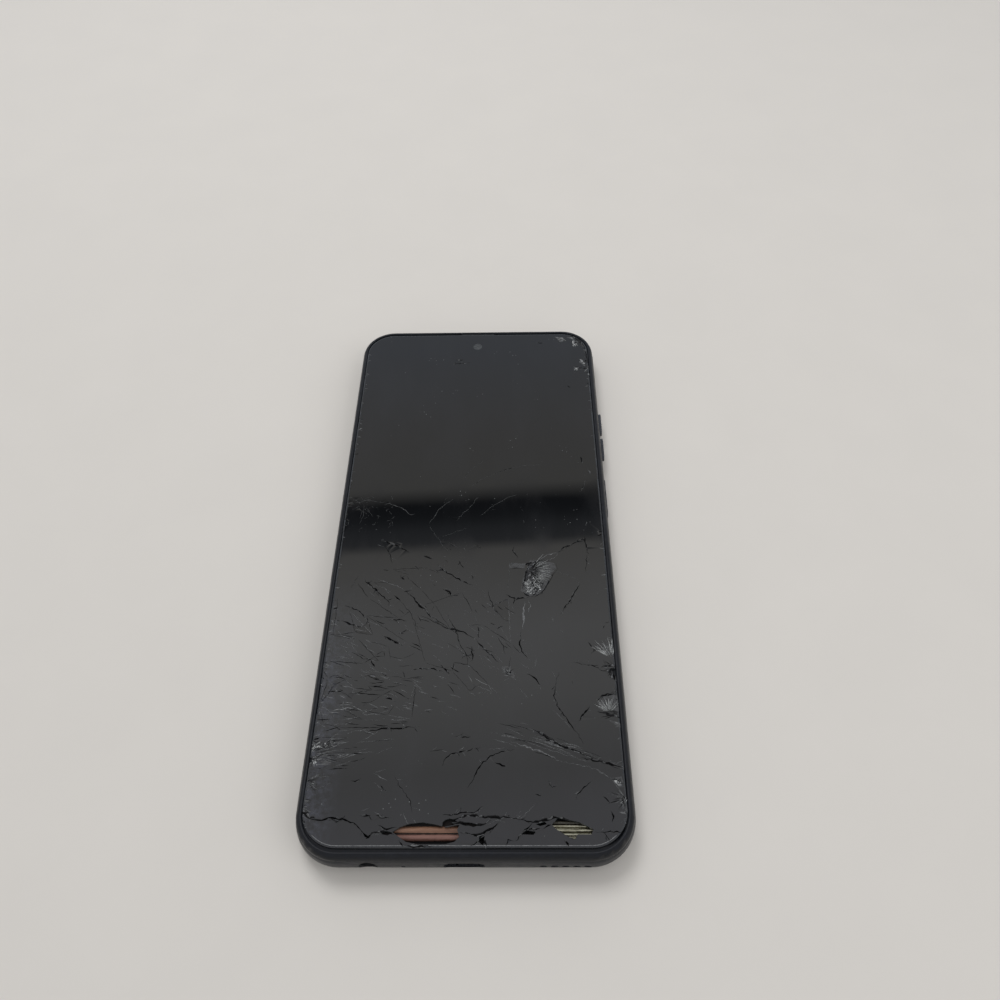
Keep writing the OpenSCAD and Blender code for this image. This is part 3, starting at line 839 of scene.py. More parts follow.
    def burst(
        self,
        centre: Point,
        turn: float,
        spread: float,
        count: int,
        reach: tuple[float, float],
        width: tuple[float, float],
        kinds: Sequence[Kind],
        clear: float = 0.0,
    ) -> None:
        """Adds cracks that run out from a struck point.

        Args:
            centre: the struck point.
            turn: middle direction in degrees.
            spread: half of the fan's angle in degrees.
            count: number of cracks.
            reach: shortest and longest crack.
            width: thinnest and widest crack.
            kinds: kinds to draw from.
            clear: how far from the centre they start.
        """
        for i in range(count):
            even = (i + 0.5) / count * 2.0 - 1.0
            angle = math.radians(turn + spread * even + self.dice.uniform(-0.6, 0.6) * spread / count)
            way = Vector((math.cos(angle), math.sin(angle)))
            start = Vector(centre) + way * clear * self.dice.uniform(0.6, 1.6)
            end = Vector(centre) + way * self.dice.uniform(*reach)
            if (end - Vector(centre)).length <= (start - Vector(centre)).length + 0.3:
                continue
            self.crack((start, end), self.dice.uniform(*width), self.dice.choice(kinds), step=1.0, sway=0.1)


# Long cracks that stand open and read black: (points, width).
OPEN_LINES: tuple[tuple[Line, float], ...] = (
    (((-25.5, -1.5), (-23, -2), (-20.5, -3), (-18, -4.5), (-16.5, -5.5)), 0.45),
    (((-24.5, -2), (-22.5, -5), (-21, -9)), 0.16),
    (((-13, -6.5), (-11.5, -7), (-10.5, -7.5)), 0.6),
    (((-9, -9), (-7.5, -11), (-4.5, -13), (-2, -14.5), (0.5, -15.5)), 0.42),
    (((-3.5, -8), (-3, -9), (-2, -10.5)), 0.3),
    (((0, -12.5), (0.5, -14)), 0.25),
    (((-28.5, -13.5), (-27, -15), (-24.5, -17), (-21.5, -20), (-20.5, -22)), 0.4),
    (((-27.5, -14.5), (-26.5, -15)), 0.7),
    (((-20, -18.5), (-18, -20.5)), 0.45),
    (((-18, -20.5), (-15, -24), (-13, -28.5)), 0.18),
    (((-17, -17.5), (-15, -19), (-13.5, -21), (-11.5, -23), (-10, -25), (-8.5, -26.5)), 0.42),
    (((-8.5, -26.5), (-6, -28), (-3.5, -28.5), (-1, -29.5), (1.5, -31)), 0.42),
    (((1.5, -31), (3.5, -33.5), (6, -36), (7.5, -37.5)), 0.45),
    (((-5, -28.5), (-3, -28.5)), 0.7),
    (((-17.5, -17.5), (-15.5, -17)), 0.3),
    (((-6, -24), (-5, -26), (-3.5, -28.5), (-2.5, -32), (-0.5, -36), (0, -39.5)), 0.22),
    (((-7.5, -16.5), (-5.5, -17.5), (-4.5, -19.5)), 0.4),
    (((-4.5, -18.5), (-3, -18.5)), 0.25),
    (((2, -27.5), (2.5, -31)), 0.4),
    (((2.5, -30), (3.5, -30)), 0.3),
    (((-2, -36), (1.5, -35)), 0.35),
    (((0.5, -33), (1, -37)), 0.3),
    (((4.5, -17), (5, -19.5), (6, -22.5), (8, -25), (9.5, -26.5)), 0.22),
    (((6.5, -28.5), (8.5, -27.5)), 0.25),
    (((7, -30.5), (8.5, -33), (9, -35.5)), 0.2),
    (((-18.5, -13), (-17.5, -14)), 0.45),
    (((11.5, -3.5), (11, -5), (12.5, -7.5)), 0.25),
    (((23.5, -5.5), (24.5, -4), (27, -3), (30.5, -1)), 0.26),
    (((30.5, 0), (31, -6)), 0.32),
    (((31, -6), (30, -12)), 0.14),
    (((9, -18.5), (11.5, -19.5), (14, -19.5), (15.5, -19)), 0.42),
    (((11.5, -19.5), (11, -21.5)), 0.25),
    (((13, -29), (12.5, -32), (13, -34.5), (14.5, -36.5)), 0.4),
    (((28.5, -15), (25.5, -20.5), (23, -24.5)), 0.34),
    (((25, -20), (26, -21)), 0.8),
    (((-33, -21.5), (-30.5, -22), (-28, -23.5), (-26, -25.5), (-26.5, -27)), 0.3),
    (((-26.5, -27), (-27.5, -27.5), (-30, -27), (-33, -25.5)), 0.42),
    (((-21, -25.5), (-18, -25.5), (-16, -26)), 0.35),
    (((-18, -29.5), (-16.5, -29.5)), 0.7),
    (((-22, -30), (-19, -31.5), (-16.5, -33)), 0.55),
    (((-14.5, -32), (-12, -33.5)), 0.35),
    (((-24.5, -36.5), (-23, -38.5)), 0.5),
    (((-14, -39.5), (-11.5, -39), (-8.5, -39), (-6, -40)), 0.4),
    (((-7, -38), (-4.5, -40.5)), 0.4),
    (((14, -40.5), (16, -41.5), (17.5, -43.5)), 0.38),
    (((22, -40), (21, -43.5), (20.5, -46), (21.5, -49), (23.5, -52), (25.5, -55), (27, -58)), 0.24),
    (((29.5, -32), (30.5, -33.5)), 0.4),
    (((30, -35.5), (31, -34), (34, -34)), 0.25),
    (((33.5, -28.5), (34, -27.5)), 0.5),
    (((25, -37.5), (30.5, -38.5), (34, -40.5)), 0.26),
    (((-34, -45), (-30, -44.5)), 0.4),
    (((-23, -43.5), (-20.5, -43.5)), 0.45),
    (((-20, -46.5), (-17.5, -47)), 0.5),
    (((-24, -55), (-20, -54), (-16.5, -54), (-11, -53.5)), 0.35),
    (((-19, -67), (-17.5, -68.5)), 0.5),
    (((-26, -66), (-23.5, -66)), 0.28),
    (((-16, -65), (-14.5, -67.5), (-12, -70.5), (-11.5, -73)), 0.18),
    (((-3, -56), (1, -56)), 0.38),
    (((-5.5, -63), (-5, -61.5), (-3.5, -60), (-1, -59.5), (3.5, -58.5)), 0.34),
    (((-8.5, -59.5), (-5, -59)), 0.2),
    (((0.5, -68), (2, -65), (3.5, -62.5), (5.5, -60.5), (8, -59.5), (11.5, -59)), 0.32),
    (((6.5, -62), (9.5, -63)), 0.35),
    (((15, -54), (17.5, -55.5), (21, -57.5)), 0.7),
    (((17, -56.5), (20, -57.5), (24, -59), (28.5, -61)), 0.55),
    (((26, -61), (31, -62), (36.5, -63.5)), 0.5),
    (((26, -52.5), (27.5, -50.5), (29, -48.5)), 0.42),
    (((30.5, -50), (33, -50.5), (36.5, -52)), 0.7),
    (((30.5, -48), (32, -46), (36, -45.5)), 0.4),
    (((18.5, -66), (19, -67), (19.5, -67.5), (20.5, -67)), 0.42),
    (((15.5, -69), (17, -69.5)), 0.45),
    (((28.5, -66), (26.5, -67.5), (25, -69), (24.5, -70.5)), 0.26),
    (((32, -72.5), (32.5, -74.5)), 0.35),
    (((30.5, -69.5), (32, -71)), 0.2),
    (((31, 27.5), (31.5, 25)), 0.6),
    (((33, 22.5), (33.5, 21)), 0.6),
    (((-8, 66.5), (-5, 67), (-2, 67)), 0.5),
    (((-7, 68.5), (-4.5, 68.5)), 0.6),
    (((19, 76), (22, 76)), 0.3),
    (((28.5, 56.5), (29.5, 55.5)), 0.3),
)

# Cracks of the lower border, between the two openings.
BORDER_LINES: tuple[tuple[Line, float], ...] = (
    (((-36.5, -72.3), (-34.5, -73.6), (-32.5, -74.3)), 0.7),
    (((-36, -72.5), (-34, -74), (-32, -74.5), (-29, -74), (-26, -74.5), (-23.5, -75.5), (-22, -77),
        (-20.5, -78)), 0.42),
    (((-21.2, -78.4), (-20.2, -77.6), (-19.5, -77)), 0.4),
    (((-20.5, -77.6), (-19.5, -77), (-17.5, -77), (-15, -77.5)), 0.6),
    (((-19, -75.5), (-17, -76.5), (-14.5, -76)), 0.4),
    (((-29.5, -74), (-28, -75), (-26.5, -74.5)), 0.25),
    (((-23, -73.5), (-20.5, -73.5)), 0.5),
    (((-5, -73.5), (-3, -73.5), (-1, -73), (2, -73), (4, -71.5)), 0.42),
    (((-4.5, -76), (-4, -74.5), (-2.5, -74.5), (0.5, -73.5), (4.5, -74), (10, -74), (12.5, -74.5)), 0.62),
    (((10, -74), (13, -74.5), (15, -75), (17.5, -74.5), (20, -74), (22, -74.5), (24.5, -75.5), (28, -76.5)),
        0.55),
    (((-3.5, -75.5), (-1, -75), (1, -75.5), (3.5, -75.5), (6, -74.5)), 0.6),
    (((-1, -77), (1.5, -77.5), (3.5, -77.5), (5.5, -76.5), (8, -75)), 0.5),
    (((5.5, -77.5), (6.5, -76), (7.5, -75.5)), 0.3),
    (((1.5, -79.8), (3, -79), (3.5, -78), (4.5, -77.5)), 0.5),
    (((3, -79), (4.5, -79), (5, -80)), 0.7),
    (((11, -79), (12.5, -77.5), (14, -76.5), (17, -76.5)), 0.45),
    (((12.5, -77), (14.5, -75.5), (15, -75)), 0.3),
    (((17, -76.5), (19, -75.5)), 0.35),
    (((28, -77), (31, -77), (35, -77)), 0.26),
    (((30, -77), (31.5, -79)), 0.22),
    (((21.5, -78.5), (22.5, -80)), 0.45),
    (((23, -78.5), (24.5, -78)), 0.3),
    (((9, -79.8), (9.5, -78.5), (11, -79)), 0.2),
    (((-14, -78.5), (-13, -80)), 0.35),
    (((-13.5, -79.8), (-10, -80), (-6.5, -79.8)), 0.4),
    (((-19.5, -73.5), (-17.5, -74), (-16, -74)), 0.4),
)

# Lines that catch the light: (points, width).
HAIR_LINES: tuple[tuple[Line, float], ...] = (
    (((-25, 11.5), (-22.5, 10.5), (-19.5, 9), (-17, 7), (-16, 7.5)), 0.24),
    (((-34, 12.5), (-32, 11.5), (-29.5, 12.5), (-28.5, 12), (-25, 11.5)), 0.16),
    (((-12, 4), (-9.5, 9), (-7.5, 11), (-5.5, 12.5)), 0.2),
    (((-4.5, 5), (-1, 9.5), (1.5, 13.5)), 0.16),
    (((2, 6.5), (5, 9.5), (9, 12.5), (12.5, 14)), 0.14),
    (((-12, 3.5), (-10, 0), (-6.5, -5)), 0.12),
    (((-8.5, -0.5), (-5, 1), (-1.5, 2.5)), 0.1),
    (((-31, 11), (-30.5, 7), (-31.5, 4)), 0.12),
    (((-30, 10), (-29, 8), (-28, 6.5)), 0.1),
    (((-33, 10), (-31, 8.5), (-31.5, 6)), 0.1),
    (((32, 19), (31.5, 17), (30.5, 15)), 0.14),
    (((31, 3), (31.5, 4.5)), 0.45),
    (((-3, 20), (0, 24), (3, 26.5)), 0.09),
    (((-0.5, 17), (3, 20), (7, 22), (11, 23.5), (15, 24.5), (19.5, 24.5)), 0.09),
    (((-25, -13.5), (-22.5, -14.5), (-20, -15.5), (-17, -17)), 0.3),
    (((-25, -15.5), (-22.5, -16.5), (-20.5, -18)), 0.22),
    (((18, -8), (20, -6.5), (23, -5.5)), 0.3),
    (((18, -9), (21, -8), (23, -6.5), (23, -5.5)), 0.22),
    (((10, -9.5), (10, -14), (9.5, -17)), 0.1),
    (((14, -20.5), (13.5, -24), (13.5, -28.5)), 0.9),
    (((15, -20), (15.5, -22), (14.5, -24)), 0.35),
    (((21.5, -11.5), (25, -12.5), (28.5, -14.5)), 0.12),
    (((28.5, -14.5), (25.5, -20.5)), 0.14),
    (((16, -39), (16.5, -36.5)), 0.3),
    (((0, -15.5), (3, -17), (4.5, -20)), 0.1),
    (((8.5, -42.5), (10, -41.5)), 0.3),
    (((-32.5, -49.5), (-29, -49), (-26.5, -49)), 0.5),
    (((-25, -50.5), (-20.5, -50.5)), 0.3),
    (((-25, -50.5), (-22, -49)), 0.25),
    (((-25.5, -57.5), (-21.5, -57), (-16.5, -56.5)), 0.22),
    (((-31.5, -58.5), (-27, -57)), 0.4),
    (((-31, -61), (-26, -60), (-21, -59.5)), 0.3),
    (((-21, -64.5), (-18, -63.5)), 0.2),
    (((-20.5, -64.5), (-17.5, -66)), 0.3),
    (((-21, -66), (-17.5, -68.5)), 0.16),
    (((-34, -65), (-30.5, -65)), 0.3),
    (((-33, -67.5), (-30, -66.5)), 0.2),
    (((10, -57), (14, -58.5), (18, -60), (22, -62)), 0.6),
    (((12, -56.5), (16, -58), (20, -59.5), (25, -61)), 0.22),
    (((5, -59), (9, -58.5)), 0.24),
    (((22, -62), (25, -62.5), (28, -63), (31, -64.5), (34, -67)), 0.24),
    (((20, -49.5), (22, -51.5), (24, -54)), 0.25),
    (((12, -74.5), (13.5, -73), (15.5, -71)), 0.26),
    (((11, -74.5), (12.5, -72.5)), 0.16),
    (((-13.5, -73), (-12, -75.5)), 0.26),
    (((-11.5, -74), (-10.5, -75.5)), 0.2),
    (((-20, -72.5), (-18, -74)), 0.26),
    (((-23, -72.5), (-21, -72)), 0.16),
    (((2, -73.5), (4, -72)), 0.22),
    (((5, -75.5), (7.5, -74.5), (9, -75)), 0.2),
    (((-36, -72), (-33, -73)), 0.3),
)


@dataclass
class BrokenGlass:
    """The cover glass, with every crack cut into it as a real groove.

    All sizes are in millimetres.
    """

    corner: float = 8.3
    edge_drop: float = 0.28
    edge_round: float = 0.45
    edge_line: float = 0.14
    # Below this y the thin band inside the rounded edge is painted pale: a painted highlight line along the
    # lower end.
    painted_highlight_below: float = -77.8
    corner_steps: int = 16
    edge_rings: tuple[float, ...] = (0.0, 0.06, 0.15, 0.28)
    bright_from: float = 0.12
    open_swell: float = 1.25
    border_swell: float = 1.35
    border_depth: float = 0.5
    hair_thin: float = 0.75
    sheet_area: float = 400.0
    shard_slope: float = 0.02
    shard_step: float = 0.03
    shard_drop: float = 0.4
    grain_depth: tuple[float, float] = (0.04, 0.3)
    floor_left: float = 0.12
    seed: int = 23
    impact: Line = (
        (15.5, -8), (18, -8), (22, -9), (22.5, -10.5), (21, -12.5), (20, -15), (19, -17),
        (17.5, -18.5), (15.5, -19), (14, -18), (13, -17.5), (13.5, -14), (15, -10),
    )
    copper_gap: Line = (
        (-15.5, -77), (-14, -76), (-12, -75.3), (-9, -75), (-6, -75.5), (-4, -76), (-1, -75.5),
        (-1.5, -76.5), (-1, -78), (-2, -79), (-4, -79.5), (-10, -79.5), (-12.5, -79), (-14, -78),
    )
    strip_gap: Line = (
        (19, -75.5), (20.5, -74), (22.5, -74.5), (25, -75), (28, -76.5), (27.5, -77.5),
        (24.5, -77.5), (24, -78.5), (22.5, -78), (20, -76.5),
    )
    lens_at: Point = (0, 74.5)
    lens_r: float = 1.4
    small_gaps: tuple[Line, ...] = (
        ((-4.8, -76), (-4.7, -75), (-4.2, -74.5), (-3.2, -74.2), (-2.2, -74.4), (-1.4, -74.9),
         (-2.8, -75), (-2, -75.5)),
        ((-0.5, -75), (1, -75), (3.5, -75.5), (2, -76), (0.5, -75.5)),
        ((3.2, -78.5), (4.5, -77.8), (4.2, -79.8), (3.4, -79.2)),
        ((12.5, -77.5), (13.5, -76.6), (15.5, -77), (15, -77.6)),
        ((-18, -77.4), (-17, -76.8), (-15.5, -77.1), (-16.5, -77.7)),
        ((15.5, -75.4), (17.5, -74.9), (18, -75.4), (16.5, -75.8)),
        ((-22, -77), (-21, -77.6), (-20.5, -78.2), (-21.4, -78)),
    )
    edge_gaps: tuple[Line, ...] = (
        ((34.8, -39.4), (36.5, -39), (36.5, -40.6), (35.6, -40.8)),
        ((-36.5, -60.4), (-35.3, -60.9), (-35.1, -61.8), (-36.5, -62.4)),
    )

    def __post_init__(self) -> None:
        """Reads the glass's own box from the frame."""
        low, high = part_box("cover_glass")
        self.half_x, self.half_y = high.x / MM, high.y / MM
        self.bottom, self.top = low.z / MM, high.z / MM
        self.plan = CrackPlan(self.seed)
        self.dice = random.Random(self.seed + 1)

    def _outline(self, inset: float) -> list[Vector]:
        """Draws the rounded rectangle of the glass.

        Args:
            inset: distance inside the glass's own edge.

        Returns:
            Its points, counter clockwise.
        """
        radius = self.corner - inset
        loop = []
        for turn, (sx, sy) in enumerate(((1, 1), (-1, 1), (-1, -1), (1, -1))):
            centre = Vector((sx * (self.half_x - self.corner), sy * (self.half_y - self.corner)))
            for i in range(self.corner_steps + 1):
                angle = math.radians(90 * turn + 90 * i / self.corner_steps)
                loop.append(centre + radius * Vector((math.cos(angle), math.sin(angle))))
        return loop

    def _inset_of(self, place: Vector) -> float:
        """Gives the distance of a place from the glass's edge, inwards.

        Args:
            place: a point in millimetres.

        Returns:
            The distance, below 0 outside the glass.
        """
        qx = abs(place.x) - (self.half_x - self.corner)
        qy = abs(place.y) - (self.half_y - self.corner)
        outside = math.hypot(max(qx, 0), max(qy, 0)) + min(max(qx, qy), 0)
        return self.corner - outside

    def _somewhere(self, box: Box) -> Vector:
        """Picks a place in a box of lowest x, lowest y, highest x and highest y."""
        return Vector((self.dice.uniform(box[0], box[2]), self.dice.uniform(box[1], box[3])))

    def _strew(self, count: int, box: Box) -> None:
        """Strews loose points over a box, so that the area there breaks into grains.

        Args:
            count: number of points.
            box: lowest x, lowest y, highest x and highest y.
        """
        for _ in range(count):
            self.plan.loose(self._somewhere(box))

    def _draw_main_cracks(self) -> None:
        """Puts the long open cracks and hairlines into the plan."""
        for line, width in OPEN_LINES:
            self.plan.crack(line, width * self.open_swell, thorns=0.2)
        for line, width in BORDER_LINES:
            self.plan.crack(line, width * self.border_swell, depth=self.border_depth, thorns=0.16)
        for line, width in HAIR_LINES:
            self.plan.crack(line, width * self.hair_thin, Kind.HAIR)

    def _draw_impact(self) -> None:
        """Draws the main struck point: dense black at its upper left, pale rays in the rest."""
        plan = self.plan
        plan.area(self.impact, Kind.FLAKE)
        self._strew(50, (13.5, -18.5, 22, -8.5))
        plan.area(((15, -9.4), (17, -8.6), (17.6, -9.6), (16.6, -12), (15, -14.5), (14.2, -13.5)), Kind.DARK)
        plan.burst((15.2, -11), -6, 58, 44, (4.4, 6.8), (0.08, 0.17), (Kind.FIBRE, Kind.HAIR), 2.2)
        plan.burst((15.2, -11), -6, 58, 34, (2.8, 6.2), (0.08, 0.17), BLACK, 1.0)
        plan.area(
            ((14, -15), (15.2, -13.6), (17.4, -13.2), (18.8, -14.8), (18.4, -17), (16.6, -18.5), (14.6, -18)),
            Kind.POWDER)
        self._strew(120, (14, -18.5, 18.8, -13.2))
        plan.burst((16, -15.9), -90, 180, 30, (1.2, 3.2), (0.08, 0.2), STRONG, 0.4)
        plan.burst((16.8, -14.6), -90, 180, 24, (1.0, 2.6), (0.08, 0.17), STRONG, 0.3)
        plan.burst((16.4, -16.8), -90, 180, 18, (0.8, 2.0), (0.08, 0.17), (Kind.FIBRE, Kind.OPEN), 0.2)
        plan.crack(((22.6, -9.2), (22.8, -10.8), (21.3, -12.9), (20.3, -15.2), (19.3, -17.2)), 0.2)
        plan.crack(((14.6, -9.2), (16.8, -8.6), (18.6, -7.8)), 0.7, blunt=True)
        plan.crack(((15.4, -9), (14.2, -13), (13.3, -17)), 0.62, blunt=True)
        plan.crack(((13.4, -17.4), (14.5, -18.8), (16.5, -19.2), (18.5, -18.2), (20, -15.8)), 0.24)
        # A hazy tab points left from the struck point.
        plan.area(((10, -9), (13, -9.2), (14.5, -9), (14, -10.5), (10, -10.5)), Kind.FLAKE)
        plan.crack(((10, -9), (13, -9.2), (15, -9)), 0.16, Kind.HAIR)
        plan.crack(((10, -9.8), (14.3, -9.7)), 0.14, Kind.HAIR)
        plan.crack(((10, -10.5), (14, -10.5)), 0.22)

    def _crushed(self, outline: Line, core: float) -> Vector:
        """Marks a crushed spot: lifted flakes round a core of powder.

        Args:
            outline: outer line of the flakes.
            core: size of the powder, as a share of the outline.

        Returns:
            The middle of the spot.
        """
        heart = sum((Vector(p) for p in outline), Vector((0, 0))) / len(outline)
        self.plan.area(outline, Kind.FLAKE)
        self.plan.area([heart + (Vector(p) - heart) * core for p in outline], Kind.POWDER)
        return heart

    def _draw_edge_stars(self) -> None:
        """Draws the struck points along both side edges."""
        plan = self.plan
        # Right side, upper star: a pale fan with a black hole below it.
        plan.burst((35.2, -36.6), 110, 40, 34, (3.2, 6.6), (0.09, 0.2), (Kind.FIBRE, Kind.HAIR), 1.0)
        plan.crack(((32.2, -38.9), (34, -38.6), (36.2, -38.8)), 1.0)
        plan.area(((33.6, -39.2), (36.2, -39), (36.2, -42.6), (35, -42), (34.2, -40.8)), Kind.DARK)
        self._strew(30, (34, -42, 36, -39))
        plan.burst((35.6, -38.8), 190, 75, 12, (1.5, 4.0), (0.14, 0.34), BLACK, 0.3)
        # Right side, lower star: crushed and grainy, in a black frame.
        plan.area(((31, -49.3), (31, -47.5), (32, -46.2), (35.6, -45.8), (36.2, -50), (33, -50)), Kind.FLAKE)
        self._strew(150, (31, -50, 36, -45.8))
        plan.burst((33.4, -50.2), 95, 62, 34, (1.8, 4.4), (0.08, 0.16), STRONG, 0.3)
        plan.burst((32.6, -47.8), 0, 180, 12, (0.6, 1.5), (0.08, 0.14), (Kind.FIBRE, Kind.OPEN), 0.2)
        plan.crack(((31, -48), (32.2, -46.2), (34, -45.9), (36.4, -46)), 0.3)
        plan.crack(((31.5, -50.2), (33.5, -51), (36.4, -51.6)), 0.5)
        plan.burst((35.8, -50.6), 175, 30, 7, (2.0, 5.0), (0.2, 0.4), BLACK, 0.3)
        plan.area(((33, -52), (36.2, -53), (36.2, -54.2), (34.4, -53.2)), Kind.FLAKE)
        # Left side: pale crushed lumps with streaks that run into the glass.
        for lump in (
            ((-35.7, -57), (-34, -56.6), (-33.4, -58), (-34.8, -59.4), (-35.8, -59)),
            ((-33.6, -57.4), (-30.6, -56.6), (-29.8, -57.6), (-33, -58.6)),
            ((-35.6, -60.6), (-34.2, -60.2), (-33.8, -62), (-35.4, -62.6)),
        ):
            heart = self._crushed(lump, 0.78)
            plan.burst(
                tuple(heart), 0, 180, 16, (0.7, 1.9), (0.1, 0.2), (Kind.FIBRE, Kind.HAIR, Kind.OPEN), 0.1)
        plan.area(((-33, -61.6), (-31, -61), (-30.6, -62), (-32.6, -62.6)), Kind.FLAKE)
        plan.area(((-35, -66.4), (-33.8, -66), (-33.6, -67), (-34.8, -67.4)), Kind.FLAKE)
        self._strew(110, (-36, -63, -30, -56))
        plan.burst((-36, -60), 10, 30, 20, (3.0, 9.0), (0.1, 0.22), CHIPS, 1.5)
        plan.burst((-36, -66), -5, 40, 8, (1.5, 4.0), (0.1, 0.22), CHIPS, 0.5)
        # Small star in the middle, and the one at the right end of the long bundle.
        self._crushed(((8.2, -38.6), (9.5, -38.4), (11, -40), (11.3, -41.5), (10, -41.2), (8.6, -40)), 0.45)
        plan.burst((10.2, -41), 0, 180, 14, (0.8, 2.6), (0.16, 0.34), (Kind.OPEN, Kind.HAIR), 0.1)
        plan.burst((9.8, -40.4), 100, 70, 14, (0.9, 2.2), (0.09, 0.16), STRONG, 0.2)
        plan.burst((10, -40.5), 130, 40, 7, (1.5, 3.0), (0.2, 0.35), (Kind.HAIR,), 0.4)
        self._crushed(((32.6, -65.6), (35, -65.2), (35.5, -67.5), (33.8, -67.6)), 0.62)
        self._crushed(((33.8, -69), (35, -69.5), (35.7, -72.8), (34.5, -72.2), (34, -70.5)), 0.55)
        plan.burst((34, -66), 0, 180, 16, (0.6, 1.6), (0.12, 0.26), STRONG, 0.1)
        plan.burst((34.9, -71.4), 100, 60, 14, (0.8, 2.4), (0.1, 0.24), STRONG, 0.1)
        self._strew(70, (32.6, -73, 35.7, -65))
        plan.burst((35.5, -70), 190, 75, 16, (1.5, 4.5), (0.12, 0.3), CHIPS, 0.5)
        plan.burst((25.5, -20.5), 20, 180, 8, (0.6, 1.6), (0.14, 0.26), BLACK, 0.1)

    def _draw_upper_corner(self) -> None:
        """Draws the crushed spots at the upper right corner."""
        plan = self.plan
        spots = (
            ((25.5, 78.8), (28.5, 78.4), (29, 77), (27, 76.4)),
            ((31.2, 77), (32.6, 76.8), (33, 75), (32, 73.8), (31, 74.6)),
            ((33, 68.4), (34.4, 67.6), (35, 65.8), (34, 65.4), (33, 66.8)),
            ((31, 65), (32.6, 64.6), (32, 63), (31, 63.2)),
            ((35.2, 65), (36, 65), (36, 63.5), (35.2, 63.8)),
            ((35.2, 61.6), (36, 61.8), (36, 60.6)),
        )
        for spot in spots:
            plan.area(spot, Kind.POWDER)
            centre = sum((Vector(p) for p in spot), Vector((0, 0))) / len(spot)
            for _ in range(30):
                plan.loose(centre + Vector((self.dice.uniform(-1.2, 1.2), self.dice.uniform(-1.2, 1.2))))
            plan.burst(
                tuple(centre), 0, 180, 12, (1.0, 2.4), (0.3, 0.7),
                (Kind.FLAKE, Kind.FLAKE, Kind.HAIR, Kind.OPEN), 0.5)
        plan.area(((29.6, 79.3), (32.4, 78.2), (34.2, 76.2), (35.2, 73), (35.5, 69), (35, 69), (34.4, 73),
                   (33.2, 75.6), (31.4, 77.4), (29.2, 78.6)), Kind.DARK)
        self._strew(90, (29, 69, 35.6, 79.4))
        plan.crack(((29.5, 79.5), (32, 78.5), (34, 76.5), (35, 73.5)), 0.6)
        plan.crack(((35, 73), (35.4, 69), (35.6, 66)), 0.4)
        plan.crack(((28.8, 58), (28.9, 57)), 0.4, Kind.HAIR)
        plan.crack(((28.6, 52), (28.8, 51)), 0.25, Kind.HAIR)

    def _streaks(
        self,
        count: int,
        box: Box,
        tilt: Callable[[Vector], float],
        reach: tuple[float, float],
        width: tuple[float, float],
        kinds: Sequence[Kind],
        keep: Callable[[Vector], float],
    ) -> None:
        """Scatters short cracks that follow a rule.

        Args:
            count: number of tries.
            box: lowest x, lowest y, highest x and highest y.
            tilt: direction in degrees at a place.
            reach: shortest and longest streak.
            width: thinnest and widest streak.
            kinds: kinds to draw from.
            keep: chance from 0 to 1 that a place gets its streak.
        """
        for _ in range(count):
            place = self._somewhere(box)
            if self.dice.random() > keep(place):
                continue
            angle = math.radians(tilt(place) + self.dice.gauss(0, 13))
            bend = math.radians(self.dice.uniform(-18, 18))
            length = self.dice.uniform(*reach)
            line = [place]
            for i in range(3):
                way = angle + bend * i / 2
                line.append(line[-1] + Vector((math.cos(way), math.sin(way))) * length / 3)
            self.plan.crack(line, self.dice.uniform(*width), self.dice.choice(kinds), step=0.8, sway=0.14)

    def _web(
        self,
        box: Box,
        pitch: float,
        stretch: float,
        tilt: float,
        share: float,
        width: tuple[float, float],
        kinds: Sequence[Kind],
        keep: Callable[[Vector], float],
    ) -> None:
        """Draws a net of cracks that meet: sides of random triangles, drawn out along one direction.

        Args:
            box: lowest x, lowest y, highest x and highest y.
            pitch: usual distance of the corners across the direction.
            stretch: how many times longer it is along the direction.
            tilt: the direction in degrees.
            share: share of the sides that cracked.
            width: thinnest and widest crack.
            kinds: kinds to draw from.
            keep: further chance from 0 to 1 by place.
        """
        turn = Matrix.Rotation(math.radians(tilt), 2)
        count = round((box[2] - box[0]) * (box[3] - box[1]) / (pitch * pitch * stretch))
        flat = []
        for _ in range(count):
            level = turn.transposed() @ self._somewhere(box)
            flat.append(Vector((level.x / stretch, level.y)))
        corners, sides, *_ = delaunay_2d_cdt(flat, [], [], 0, 1e-4, False)
        places = [turn @ Vector((c.x * stretch, c.y)) for c in corners]
        for a, b in sides:
            start, end = places[a], places[b]
            if (end - start).length >= 3 * pitch * stretch:
                continue
            if self.dice.random() < share * keep((start + end) / 2):
                self.plan.crack(
                    (start, end), self.dice.uniform(*width), self.dice.choice(kinds), step=0.8, sway=0.16)

    def _draw_fields(self) -> None:
        """Scatters the fine cracks: the left half, the middle, and the long bundle at the lower right."""

        def left_tilt(place: Vector) -> float:
            """Turns from down right at the top to up right at the bottom of the field."""
            return -30.0 + (-30.0 - place.y) * 1.3

